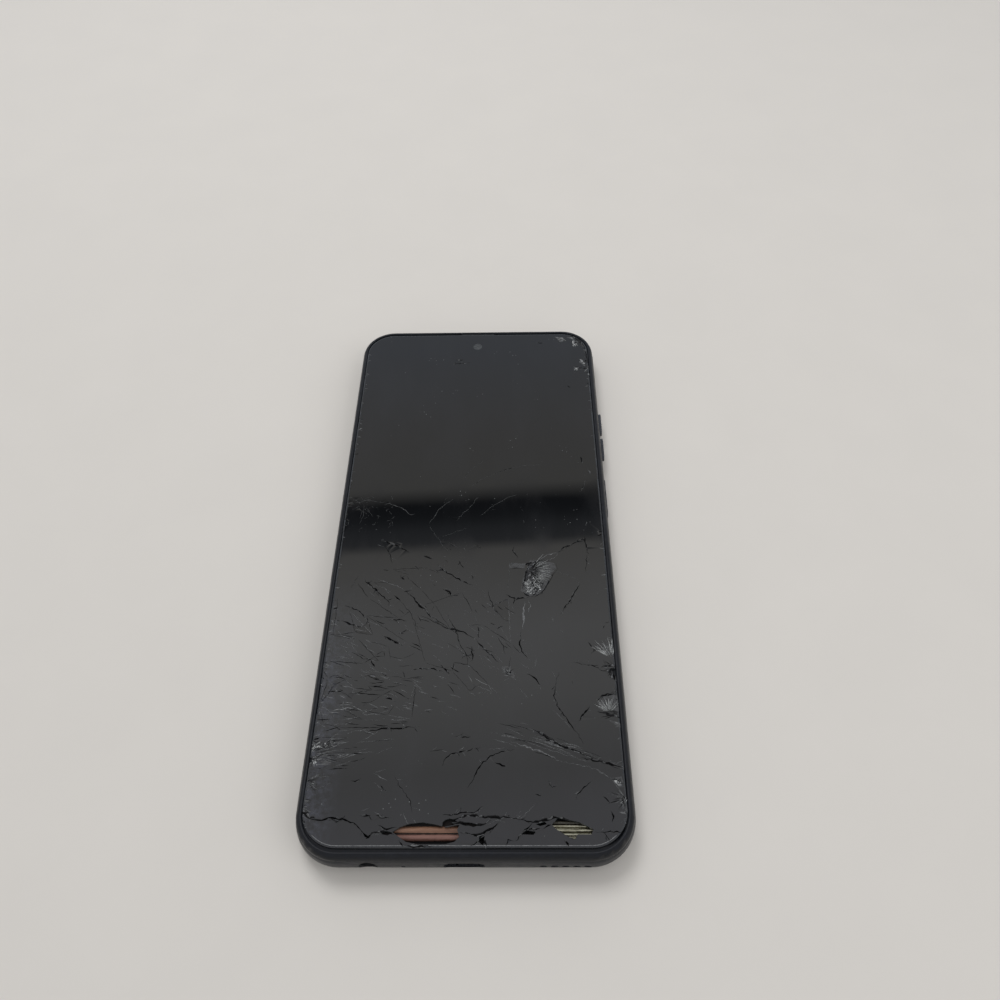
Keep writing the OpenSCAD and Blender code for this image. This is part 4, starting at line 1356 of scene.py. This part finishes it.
        self._web((-36, -38, 0, -10), 2.7, 2.4, -38, 0.2, (0.08, 0.2), MOSTLY_BLACK, lambda p: 1.0)
        self._web((-36, -56, -12, -34), 1.9, 2.6, -9, 0.4, (0.08, 0.24), MOSTLY_BLACK,
                  lambda p: min(1.0, max(0.1, (-8 - p.x) / 16)))
        self._web((-16, -46, 12, -17), 2.8, 2.2, -52, 0.26, (0.08, 0.2), MOSTLY_BLACK, lambda p: 1.0)
        self._streaks(190, (-36, -53, -4, -24), left_tilt, (1.0, 4.4), (0.1, 0.26), MIXED,
                      lambda p: min(1.0, max(0.06, (-6 - p.x) / 30 + (-30 - p.y) / 40)))
        self._streaks(60, (-36, -64, -20, -53), left_tilt, (1.2, 5.0), (0.1, 0.24), MIXED,
                      lambda p: min(1.0, max(0.0, (-16 - p.x) / 14)))
        self._streaks(
            60, (-14, -44, 13, -20), lambda p: -52.0 + 10 * (p.x < 0), (1.0, 4.2), (0.1, 0.22), MIXED,
            lambda p: 0.7)
        self._streaks(
            40, (-28, -24, 4, -2), lambda p: -38.0, (0.8, 3.4), (0.1, 0.2), (Kind.OPEN, Kind.HAIR),
            lambda p: 0.6)
        self._streaks(26, (-34, -46, 6, -38), lambda p: -16.0, (1.0, 3.6), (0.12, 0.28), MIXED, lambda p: 0.8)
        self._streaks(26, (12, -46, 34, -22), lambda p: -60.0, (0.6, 2.2), (0.08, 0.16), MIXED, lambda p: 0.4)
        self._streaks(60, (-35, 2, -22, 13), lambda p: self.dice.uniform(0, 180), (0.3, 1.8), (0.06, 0.12),
                      (Kind.HAIR,), lambda p: 0.8)
        self._streaks(40, (-12, 0, 34, 16), lambda p: self.dice.uniform(0, 180), (0.3, 1.2), (0.06, 0.12),
                      (Kind.HAIR,), lambda p: 0.5)
        for _ in range(44):
            share = self.dice.random()
            middle = Vector((5 + 29 * share, -54.5 - 3.5 * share - 4.5 * share * share))
            place = middle + Vector((0, self.dice.gauss(0, 1.5 * (1 - 0.5 * share))))
            angle = math.radians(-12 - 14 * share + self.dice.gauss(0, 5))
            way = Vector((math.cos(angle), math.sin(angle)))
            length = self.dice.uniform(2.0, 7.0)
            sag = Vector((0, -0.04 * length))
            self.plan.crack((place, place + way * length * 0.5 - sag, place + way * length),
                            self.dice.uniform(0.1, 0.24), self.dice.choice(MIXED), step=0.9, sway=0.1)
        # Chips all along both long edges, closest together low down.
        for side in (-1, 1):
            for _ in range(150 if side < 0 else 70):
                y = -78 + 150 * self.dice.random() ** 2.4
                start = Vector((side * (self.half_x - self.dice.uniform(0, 0.5)), y))
                end = start + Vector((-side * self.dice.uniform(0.3, 1.6), self.dice.uniform(-0.7, 0.7)))
                self.plan.crack((start, end), self.dice.uniform(0.15, 0.4), self.dice.choice(MIXED), step=0.5)

    def _draw_gaps(self) -> None:
        """Marks where glass has fallen out."""
        for outline in (self.copper_gap, self.strip_gap, *self.edge_gaps, *self.small_gaps):
            self.plan.area(outline, Kind.GAP)
        # The front camera looks out through a clear hole.
        x, y = self.lens_at
        turns = [step / 12 * math.pi for step in range(24)]
        hole = [(x + self.lens_r * math.cos(turn), y + self.lens_r * math.sin(turn)) for turn in turns]
        self.plan.area(hole, Kind.LENS)

    def _cut(self) -> tuple[list[Vector], list[list[int]], list[list[int]]]:
        """Runs the one triangulation.

        Returns:
            Points, triangles inside the glass, and the plan's faces that cover each triangle.
        """
        points, _, faces, _, _, _ = delaunay_2d_cdt(self.plan.points, self.plan.edges, [], 0, 1e-4, False)
        tris, covers = [], []
        for face in faces:
            centre = sum((points[c] for c in face), Vector((0, 0))) / 3
            if self._inset_of(centre) > 0:
                tris.append(list(face))
                covers.append(self.plan.covering(centre))
        return points, tris, covers

    def _kind_of(self, cover: Sequence[int]) -> Kind | None:
        """Decides what a triangle is from all that covers it.

        Args:
            cover: numbers of the plan's faces.

        Returns:
            The kind that wins, or None for whole glass.
        """
        kinds = {self.plan.cells[c].kind for c in cover}
        for kind in (
            Kind.GAP, Kind.LENS, Kind.FIBRE, Kind.OPEN, Kind.HAIR, Kind.POWDER, Kind.DARK, Kind.FLAKE):
            if kind in kinds:
                return kind
        return None

    def _shards(
        self, tris: list[list[int]], kinds: list[Kind | None], points: list[Vector],
    ) -> dict[int, float]:
        """Tilts each small shard a little, so that each one mirrors another part of the room.

        Args:
            tris: triangles.
            kinds: what each triangle is.
            points: plan points.

        Returns:
            How far each point drops, by its number.
        """
        sides: dict[tuple[int, int], int] = {}
        for number, tri in enumerate(tris):
            if kinds[number] is None:
                for a, b in zip(tri, tri[1:] + tri[:1]):
                    sides[(a, b)] = number
        drop: dict[int, float] = {}
        level_with_sheet: set[int] = set()
        seen: set[int] = set()
        for first, kind in enumerate(kinds):
            if kind is not None or first in seen:
                continue
            group, queue = [], [first]
            seen.add(first)
            while queue:
                number = queue.pop()
                group.append(number)
                tri = tris[number]
                for a, b in zip(tri, tri[1:] + tri[:1]):
                    other = sides.get((b, a))
                    if other is not None and other not in seen:
                        seen.add(other)
                        queue.append(other)
            corners = sorted({c for number in group for c in tris[number]})
            size = 0.0
            for a, b, c in (tris[number] for number in group):
                size += abs((points[b] - points[a]).cross(points[c] - points[a])) / 2
            if size > self.sheet_area:
                level_with_sheet.update(corners)
                continue
            slope = Vector((self.dice.gauss(0, self.shard_slope), self.dice.gauss(0, self.shard_slope)))
            centre = sum((points[c] for c in corners), Vector((0, 0))) / len(corners)
            level = {c: slope.dot(points[c] - centre) for c in corners}
            highest = max(level.values()) + self.dice.uniform(0, self.shard_step)
            for c, value in level.items():
                drop[c] = min(drop.get(c, 1.0), self.shard_drop, highest - value)
        return {c: value for c, value in drop.items() if c not in level_with_sheet}

    def build(self) -> bpy.types.Object:
        """Draws the plan, cuts it and raises the glass from it.

        Returns:
            The finished piece.
        """
        plan = self.plan
        for inset in (*self.edge_rings, self.edge_round, self.edge_round + self.edge_line):
            plan.ring(self._outline(inset))
        self._draw_gaps()
        self._draw_main_cracks()
        self._draw_impact()
        self._draw_edge_stars()
        self._draw_upper_corner()
        self._draw_fields()
        points, tris, covers = self._cut()
        kinds = [self._kind_of(cover) for cover in covers]
        kept = [i for i, kind in enumerate(kinds) if kind is not Kind.GAP]
        tris, covers, kinds = [tris[i] for i in kept], [covers[i] for i in kept], [kinds[i] for i in kept]
        drop = self._shards(tris, kinds, points)
        around: dict[int, set[int]] = {}
        touches: dict[int, set[Kind | None]] = {}
        for tri, cover, kind in zip(tris, covers, kinds):
            for corner in tri:
                around.setdefault(corner, set()).update(cover)
                touches.setdefault(corner, set()).add(kind)
        height: dict[int, float] = {}
        for corner, cover in around.items():
            place = points[corner]
            sunk = max((plan.cells[c].depth_at(place) for c in cover), default=0.0)
            if touches[corner] & {Kind.POWDER, Kind.DARK} and None not in touches[corner]:
                sunk = max(sunk, self.dice.uniform(*self.grain_depth))
            inset = self._inset_of(place)
            edge = 0.0
            if inset < self.edge_round:
                share = 1.0 - max(0.0, inset) / self.edge_round
                edge = self.edge_drop * (1.0 - math.sqrt(max(0.0, 1.0 - share * share)))
            sunk = min(self.top - self.bottom - self.floor_left, edge + max(sunk, drop.get(corner, 0.0)))
            height[corner] = self.top - sunk
        return self._raise(points, tris, kinds, height)

    def _raise(
        self,
        points: list[Vector],
        tris: list[list[int]],
        kinds: list[Kind | None],
        height: dict[int, float],
    ) -> bpy.types.Object:
        """Makes the closed mesh: carved top, walls and flat underside.

        Args:
            points: plan points.
            tris: triangles of the top.
            kinds: what each triangle is.
            height: height of each used point.

        Returns:
            The dressed piece.
        """
        used = sorted(height)
        number = {corner: i for i, corner in enumerate(used)}
        count = len(used)
        places = [(points[c].x * MM, points[c].y * MM, height[c] * MM) for c in used]
        places += [(points[c].x * MM, points[c].y * MM, self.bottom * MM) for c in used]
        faces, finish, soft = [], [], []
        sides: set[tuple[int, int]] = set()
        for tri, kind in zip(tris, kinds):
            top = [number[c] for c in tri]
            centre = (points[tri[0]] + points[tri[1]] + points[tri[2]]) / 3
            faces.append(top)
            slot = SLOTS[kind]
            if kind in MIXTURES:
                slot = self.dice.choices(*MIXTURES[kind])[0]
            inset = self._inset_of(centre)
            if kind is None and self.bright_from < inset < self.edge_round:
                slot = Slot.EDGE
            # Along the lower end only, the thin band inside the rounded edge takes the pale hairline finish:
            # a painted highlight line.
            if kind is None and 0 < inset - self.edge_round < self.edge_line and centre.y < self.painted_highlight_below:
                slot = Slot.HAIR
            finish.append(slot)
            soft.append(kind is None and inset < self.edge_round)
            faces.append([i + count for i in reversed(top)])
            finish.append(Slot.SHEET)
            soft.append(False)
            sides.update(zip(top, top[1:] + top[:1]))
        for a, b in sorted(sides):
            if (b, a) not in sides:
                faces.append([b, a, a + count, b + count])
                finish.append(Slot.WALL)
                soft.append(False)
        mesh = bpy.data.meshes.new("glass_shattered")
        mesh.from_pydata(places, [], faces)
        mesh.polygons.foreach_set("material_index", finish)
        mesh.polygons.foreach_set("use_smooth", soft)
        mesh.update()
        glass = bpy.data.objects.new("glass_shattered", mesh)
        bpy.context.scene.collection.objects.link(glass)
        mesh.materials.append(CoverGlassFinish().material())
        for dressing in (OPEN_CRACK, HAIRLINE, POWDER, GLASS_WALL, GROUND_EDGE, FOGGED_LENS, FLAKE):
            mesh.materials.append(dressing.material())
        return on_body(glass, "phone", "broken_glass", "cover_glass")


# ---------------------------------------------------------------- shell and rim
@dataclass
class Shell:
    """Rear shell, rim, keys and card tray, welded from the frame and dressed.

    All sizes are in millimetres.
    """

    frame: dict
    key_round: float = 0.12
    tray_round: float = 0.08
    seam_round: float = 0.07
    lip_z: float = 8.8
    lip_width: float = 0.24
    lip_slack: float = 0.02
    glass_corner: float = 8.3

    def _beside_glass(self, place: Vector, reach: Vector) -> bool:
        """Tells whether a place on the rim lies within the polished line next to the glass.

        Args:
            place: the place, in metres.
            reach: the glass's half width and half length, in metres.

        Returns:
            True inside the line.
        """
        x = max((abs(place.x) - reach.x) / MM + self.glass_corner, 0)
        y = max((abs(place.y) - reach.y) / MM + self.glass_corner, 0)
        return math.hypot(x, y) - self.glass_corner < self.lip_width + self.lip_slack

    def _skin(self, node: str, piece: str) -> bpy.types.Object:
        """Welds one of the two large parts and takes the sharpness off its seams.

        Args:
            node: name of the node.
            piece: name of the piece.

        Returns:
            The piece, still without its finish.
        """
        skin = welded_node(node, self.frame, piece)
        round_edges(skin, self.seam_round, 1, 50)
        smooth(skin, 40)
        return skin

    def _cap(self, node: str, piece: str, width: float, finish: Finish) -> None:
        """Rounds and dresses a small part that moves with the body of its own name.

        Args:
            node: name of the node and of its body.
            piece: name of the piece.
            width: width of its rounded edges.
            finish: what it is dressed in.
        """
        cap = welded_node(node, self.frame, piece)
        round_edges(cap, width)
        smooth(cap)
        dress(cap, finish)
        on_body(cap, node, "navy_plastic", node)

    def _is_flat_top(self, centre: Vector, normal: Vector) -> bool:
        """Tells whether a face of the rim belongs to its flat upper side."""
        return normal.z > 0.95 and centre.z > self.lip_z * MM

    def build(self) -> None:
        """Builds the shell, the rim with its polished line, the keys and the card tray."""
        rear = self._skin("rear_cover", "shell_rear")
        dress(rear, SHELL)
        on_body(rear, "phone", "navy_plastic", "rear_cover")
        rim = self._skin("front_bezel", "rim_front")
        pick_faces(rim, self._is_flat_top)
        bpy.ops.mesh.inset(thickness=self.lip_width * MM)
        bpy.ops.object.mode_set(mode="OBJECT")
        dress(rim, RIM, LIP)
        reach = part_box("cover_glass")[1]
        for face in rim.data.polygons:
            flat = self._is_flat_top(face.center, face.normal)
            face.material_index = int(flat and self._beside_glass(face.center, reach))
        on_body(rim, "phone", "navy_plastic", "front_bezel")
        for node in ("volume_up_key", "volume_down_key", "power_key"):
            self._cap(node, node + "_cap", self.key_round, KEY)
        self._cap("sim_tray", "card_tray", self.tray_round, SHELL)


@dataclass
class LowerBorder:
    """What shows through the two openings of the lower border: the rolled film and the ribbed contact.

    All sizes are in millimetres.
    """

    frame: dict
    roll_from: float = -15.8
    roll_to: float = -0.8
    rolls: tuple[tuple[float, float, float], ...] = ((-76.3, 7.34, 0.94), (-77.83, 7.53, 0.72))
    roll_cuts: int = 120
    roll_crease: float = 0.12
    fold_y: float = -77.2
    rib_from: float = 18.5
    rib_to: float = 28.5
    ribs: tuple[tuple[float, float, float], ...] = (
        (-74.7, 7.25, 0.36), (-75.45, 7.45, 0.32), (-76.4, 7.6, 0.44), (-77.25, 7.55, 0.38),
        (-78.05, 7.45, 0.3),
    )
    rib_cuts: int = 90
    rib_crease: float = 0.14
    plate_at: tuple[float, float, float] = (23.5, -77.1, 7.2)
    plate_size: tuple[float, float, float] = (9.6, 2.8, 0.5)
    plate_round: float = 0.12
    shade_from_y: float = -75.05

    def _bar(
        self, start: float, end: float, y: float, z: float, radius: float, cuts: int, crease: float,
    ) -> bpy.types.Object:
        """Makes a rounded bar along X with small creases.

        Args:
            start: its left end.
            end: its right end.
            y: its place towards the lower end.
            z: height of its middle.
            radius: its radius.
            cuts: rings along it.
            crease: depth of the creases.

        Returns:
            The bar.
        """
        rest_selection()
        bpy.ops.mesh.primitive_cylinder_add(
            vertices=32, radius=radius * MM, depth=(end - start) * MM,
            location=((start + end) / 2 * MM, y * MM, z * MM), rotation=(0, math.pi / 2, 0),
        )
        bar = settle(bpy.context.object)
        pick_faces(bar, lambda centre, normal: abs(normal.x) > 0.9)
        bpy.ops.mesh.inset(thickness=radius * 0.35 * MM)
        bpy.ops.transform.translate(value=(0, 0, -0.1 * radius * MM))
        pick_edges(bar, lambda a, b: abs(a.x - b.x) > 0.5 * (end - start) * MM)
        bpy.ops.mesh.subdivide(number_cuts=cuts)
        bpy.ops.object.mode_set(mode="OBJECT")
        cloud = bpy.data.textures.new("crease", "CLOUDS")
        cloud.noise_scale = 1.1 * MM
        push = bar.modifiers.new("crease", "DISPLACE")
        push.texture, push.texture_coords = cloud, "GLOBAL"
        push.strength, push.mid_level = crease * MM, 0.5
        take(bar)
        bpy.ops.object.modifier_apply(modifier=push.name)
        return bar

    def build(self) -> None:
        """Builds the film, its two rolls, and the ribbed contact with its plate."""
        film = welded_node("display_flex", self.frame, "display_film")
        # The film is dressed in painted shade: near black where the rolls and the glass shade it.
        dress(film, FILM_SHADE)
        on_body(film, "phone", "flex_brown", "display_flex")
        rolls = [
            self._bar(self.roll_from, self.roll_to, *roll, self.roll_cuts, self.roll_crease)
            for roll in self.rolls
        ]
        piece = join("copper_film_rolls", rolls)
        smooth(piece, 50)
        dress(piece, COPPER_FILM, COPPER_FOLD)
        for face in piece.data.polygons:
            face.material_index = int(face.center.y < self.fold_y * MM)
        on_body(piece, "phone", "flex_brown")
        ribs = [
            self._bar(self.rib_from, self.rib_to, *rib, self.rib_cuts, self.rib_crease)
            for rib in self.ribs
        ]
        rest_selection()
        place, size = ([length * MM for length in row] for row in (self.plate_at, self.plate_size))
        bpy.ops.mesh.primitive_cube_add(size=1, location=place, scale=size)
        plate = settle(bpy.context.object)
        round_edges(plate, self.plate_round)
        piece = join("ribbed_contact", [plate] + ribs)
        smooth(piece, 45)
        dress(piece, CONTACT, CONTACT_SHADE)
        # Faces towards the upper end of the strip take the painted shade finish, where the glass shades them.
        for face in piece.data.polygons:
            face.material_index = int(face.center.y > self.shade_from_y * MM)
        on_body(piece, "phone", "contact_metal", "ground_strip")


@dataclass
class CameraWindow:
    """The window in the back with its two ringed lenses and the flash.

    All sizes are in millimetres. Each lens is x, y, outer radius and radius of its glass.
    """

    frame: dict
    lenses: tuple[tuple[float, float, float, float], ...] = ((22.5, 70.5, 5.4, 3.2), (22.5, 59.5, 4.4, 2.4))
    flash: tuple[float, float, float] = (22.5, 50.0, 1.7)
    proud: float = 0.02
    foot: float = 0.14

    def _disc(self, x: float, y: float, radius: float) -> bpy.types.Object:
        """Makes the short round blank that a ring or the flash is shaped from.

        Args:
            x: its middle.
            y: its middle.
            radius: its radius.

        Returns:
            The blank.
        """
        rest_selection()
        bpy.ops.mesh.primitive_cylinder_add(
            vertices=72, radius=radius * MM, depth=(self.foot - self.proud) * MM,
            location=(x * MM, y * MM, (self.foot + self.proud) / 2 * MM),
        )
        return settle(bpy.context.object)

    def _lens(self, x: float, y: float, outer: float, glass: float) -> bpy.types.Object:
        """Shapes one ring: bright bezel, black step, glass at the bottom of the step.

        Args:
            x: middle of the lens.
            y: middle of the lens.
            outer: radius of the ring.
            glass: radius of the visible glass.

        Returns:
            The dressed ring with its glass.
        """
        ring = self._disc(x, y, outer)
        pick_faces(ring, lambda centre, normal: normal.z < -0.9)
        for inset, rise in ((0.12, 0.0), (0.5, 0.0), (0.12, 0.05), (outer - glass - 1.1, 0.02), (0.36, 0.0)):
            bpy.ops.mesh.inset(thickness=inset * MM)
            bpy.ops.transform.translate(value=(0, 0, rise * MM))
        bpy.ops.object.mode_set(mode="OBJECT")
        dress(ring, RING, BARREL, LENS)
        for face in ring.data.polygons:
            far = math.hypot(face.center.x / MM - x, face.center.y / MM - y)
            if face.normal.z < -0.5 or far < outer - 0.8:
                face.material_index = 2 if far < glass - 0.2 else 1 if far < outer - 0.72 else 0
        round_edges(ring, 0.02, 2, 40)
        return ring

    def build(self) -> None:
        """Builds the window, the lenses and the flash."""
        window = welded_node("camera_window", self.frame, "camera_glass")
        round_edges(window, 0.1, 3)
        smooth(window)
        dress(window, LENS)
        on_body(window, "phone", "lens_black", "camera_window")
        rings = [self._lens(*lens) for lens in self.lenses]
        piece = join("camera_rings", rings)
        smooth(piece, 30)
        on_body(piece, "phone", "lens_black")
        flash = self._disc(*self.flash)
        pick_faces(flash, lambda centre, normal: normal.z < -0.9)
        bpy.ops.mesh.inset(thickness=0.25 * MM)
        bpy.ops.transform.translate(value=(0, 0, 0.04 * MM))
        bpy.ops.mesh.inset(thickness=0.3 * MM)
        bpy.ops.object.mode_set(mode="OBJECT")
        flash.name = flash.data.name = "flash_lens"
        dress(flash, PHOSPHOR)
        smooth(flash, 30)
        on_body(flash, "phone", "led_yellow")


@dataclass
class PortContacts:
    """Two rows of gold contacts on the tongue of the charging port. Sizes in millimetres."""

    per_row: int = 12
    pitch: float = 0.5
    size: tuple[float, float, float] = (0.26, 3.2, 0.03)
    front: float = -81.3

    def build(self) -> None:
        """Models one contact, copies it along both faces of the tongue and joins them."""
        low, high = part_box("usb_c_tongue")
        wide, long, thick = self.size
        rest_selection()
        bpy.ops.mesh.primitive_cube_add(
            size=1, location=(0, (self.front + long / 2) * MM, 0), scale=(wide * MM, long * MM, thick * MM))
        first = settle(bpy.context.object)
        round_edges(first, 0.01, 1)
        parts = []
        for level in (low.z, high.z):
            for i in range(self.per_row):
                across = (i - (self.per_row - 1) / 2) * self.pitch
                parts.append(own_copy(first, Matrix.Translation((across * MM, 0, level))))
        bpy.data.objects.remove(first)
        piece = join("usb_contacts", parts)
        dress(piece, CONTACT_GOLD)
        on_body(piece, "phone", "contact_metal")


@dataclass
class HiddenParts:
    """Nodes whose shape is already right: each gets its real finish."""

    frame: dict

    def build(self) -> None:
        """Dresses every carried over node."""
        finishes = {
            "bonding_film": FILM, "lcd_panel": PANEL, "backlight_unit": HOUSING,
            "display_flex": COPPER_FILM, "ground_strip": CONTACT, "mid_plate": MAGNESIUM,
            "camera_window": LENS, "rear_camera_main": BARREL, "rear_camera_second": BARREL,
            "flash_led": PHOSPHOR, "front_camera": BARREL, "earpiece_speaker": HOUSING,
            "earpiece_mesh": MESH_CLOTH, "main_board": BOARD, "processor_shield": SHIELD,
            "radio_shield": SHIELD, "sim_reader": SHIELD, "top_bracket": HOUSING,
            "case_screws": PORT_STEEL, "sub_board": BOARD, "usb_c_shell": PORT_STEEL,
            "usb_c_tongue": HOUSING, "headphone_jack": HOUSING, "microphone": HOUSING,
            "speaker_module": HOUSING, "speaker_mesh": MESH_CLOTH, "vibration_motor": PORT_STEEL,
            "battery": CELL, "battery_flex": POLYIMIDE, "main_flex": POLYIMIDE,
            "side_key_flex": POLYIMIDE, "rear_cover": SHELL, "front_bezel": RIM,
            "volume_up_key": KEY, "volume_down_key": KEY, "power_key": KEY, "sim_tray": SHELL,
            "cover_glass": GLASS_WALL,
        }
        for name, node in self.frame["nodes"].items():
            dress(node, finishes[name])
        LOG.info("dressed %d nodes", len(finishes))


# ---------------------------------------------------------------- studio
@dataclass
class Studio:
    """Camera, lamps, floor and the plain pale room. The eye is in millimetres, the angles in degrees."""

    eye: tuple[float, float, float] = (10.97, -121.67, 190.54)
    pitch: float = 53.63
    yaw: float = -1.48
    roll: float = -1.62
    lens: float = 28.8
    glossy_level: float = 1.42
    even_level: float = 0.62
    # What gloss mirrors, by half the lean: the pale room, a soft dark beam, and the pale room again.
    mirrored: tuple[tuple[float, str], ...] = (
        (0.0, "#c4c4c8"), (0.12, "#dddde3"), (0.16, "#d2d2d3"), (0.21, "#eaeaea"), (0.255, "#f2f2f2"),
        (0.326, "#d6d4d0"), (0.330, "#7e8084"), (0.344, "#6c6f73"), (0.354, "#46494c"), (0.367, "#303236"),
        (0.383, "#bfbeba"), (0.43, "#bcbbba"), (0.54, "#b4b9c2"),
    )
    # Name, place in metres, side in metres and watts of each lamp.
    lamps: tuple[tuple[str, tuple[float, float, float], float, float], ...] = (
        ("key", (-0.2, 0.44, 0.9), 0.4, 4.1), ("fill", (0.6, -0.3, 0.6), 0.6, 1.4),
    )

    def camera(self) -> None:
        """Puts the camera 0.19 m over the table, a little beyond the phone's lower end, and aims it."""
        data = bpy.data.cameras.new("camera")
        data.lens, data.sensor_width = self.lens, 36.0
        data.clip_start = 0.01
        camera = bpy.data.objects.new("camera", data)
        pitch, yaw, roll = (math.radians(a) for a in (self.pitch, self.yaw, self.roll))
        level = Vector((math.sin(yaw), math.cos(yaw), 0))
        right = Vector((math.cos(yaw), -math.sin(yaw), 0))
        ahead = level * math.cos(pitch) - Vector((0, 0, math.sin(pitch)))
        up = level * math.sin(pitch) + Vector((0, 0, math.cos(pitch)))
        side = right * math.cos(roll) + up * math.sin(roll)
        top = up * math.cos(roll) - right * math.sin(roll)
        turn = Matrix((side, top, -ahead)).transposed().to_4x4()
        camera.matrix_world = Matrix.Translation(Vector(self.eye) * MM) @ turn
        bpy.context.scene.collection.objects.link(camera)
        bpy.context.scene.camera = camera

    def room(self) -> None:
        """Makes the world: even light, a pale backdrop, and a soft dark beam for gloss to mirror."""
        world = bpy.data.worlds.new("room")
        bpy.context.scene.world = world
        world.use_nodes = True
        tree = world.node_tree
        tree.nodes.clear()
        ray = add_node(tree, "LightPath")
        way = add_node(tree, "TexCoord").outputs["Generated"]
        parts = add_node(tree, "SeparateXYZ", {0: way})
        # Seen from the object: how far towards +Y a direction leans, for each unit that it rises.
        tilted = add_node(
            tree, "Math", {0: parts.outputs["X"], 1: -0.06, 2: parts.outputs["Y"]},
            operation="MULTIPLY_ADD")
        rise = add_node(tree, "Math", {0: parts.outputs["Z"], 1: 0.02}, operation="MAXIMUM")
        lean = add_node(tree, "Math", {0: tilted, 1: rise}, operation="DIVIDE")
        halved = add_node(tree, "Math", {0: lean, 1: 0.5}, operation="MULTIPLY")
        mirrored = add_node(tree, "ValToRGB", {"Fac": halved})
        stops = mirrored.color_ramp.elements
        while len(stops) < len(self.mirrored):
            stops.new(1.0)
        for stop, (where, code) in zip(stops, self.mirrored):
            stop.position, stop.color = where, linear(code)
        glossy = add_node(tree, "Background", {"Color": mirrored, "Strength": self.glossy_level})
        even = add_node(tree, "Background", {"Color": linear("#f4f3f1"), "Strength": self.even_level})
        pale = add_node(tree, "Background", {"Color": linear("#d6d4d0"), "Strength": 1.0})
        lit = add_node(tree, "MixShader", {0: ray.outputs["Is Glossy Ray"], 1: even, 2: glossy})
        shown = add_node(
            tree, "Math", {0: ray.outputs["Is Camera Ray"], 1: ray.outputs["Is Transmission Ray"]},
            operation="MAXIMUM")
        full = add_node(tree, "MixShader", {0: shown, 1: lit, 2: pale})
        add_node(tree, "OutputWorld", {"Surface": full})

    def lamp(self, name: str, place: tuple[float, float, float], size: float, power: float) -> None:
        """Adds a square soft lamp aimed at the object.

        Args:
            name: lamp's name.
            place: its place in metres.
            size: its side in metres.
            power: its power in watts.
        """
        data = bpy.data.lights.new(name, "AREA")
        data.shape, data.size, data.energy = "SQUARE", size, power
        lamp = bpy.data.objects.new(name, data)
        lamp.location = place
        lamp.rotation_euler = (-Vector(place)).to_track_quat("-Z", "Y").to_euler()
        lamp.visible_glossy = False
        bpy.context.scene.collection.objects.link(lamp)

    def floor(self) -> None:
        """Lays the plain pale table, a hair under the phone's flat back."""
        rest_selection()
        bpy.ops.mesh.primitive_plane_add(size=3.0, location=(0, 0, -0.0001))
        floor = bpy.context.object
        floor.name = "floor"
        settle(floor)
        # Laminate table top: matt, off white, with a very faint mottle.
        dress(floor, Finish("matt_laminate", "#cfccc8", "#d1ceca", (0.6, 0.7), 30.0))

    def build(self) -> None:
        """Builds the whole studio."""
        bpy.context.scene.view_settings.view_transform = "Standard"
        self.camera()
        self.room()
        self.floor()
        for lamp in self.lamps:
            self.lamp(*lamp)


def main(frame: dict) -> None:
    """Builds every sub-assembly in order and reports it.
    """
    logging.basicConfig(level=logging.INFO, format="%(name)s: %(message)s")
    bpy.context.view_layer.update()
    Studio().build()
    BrokenGlass().build()
    Shell(frame).build()
    LowerBorder(frame).build()
    CameraWindow(frame).build()
    PortContacts().build()
    HiddenParts(frame).build()


if __name__ == "__main__":
    main(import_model())
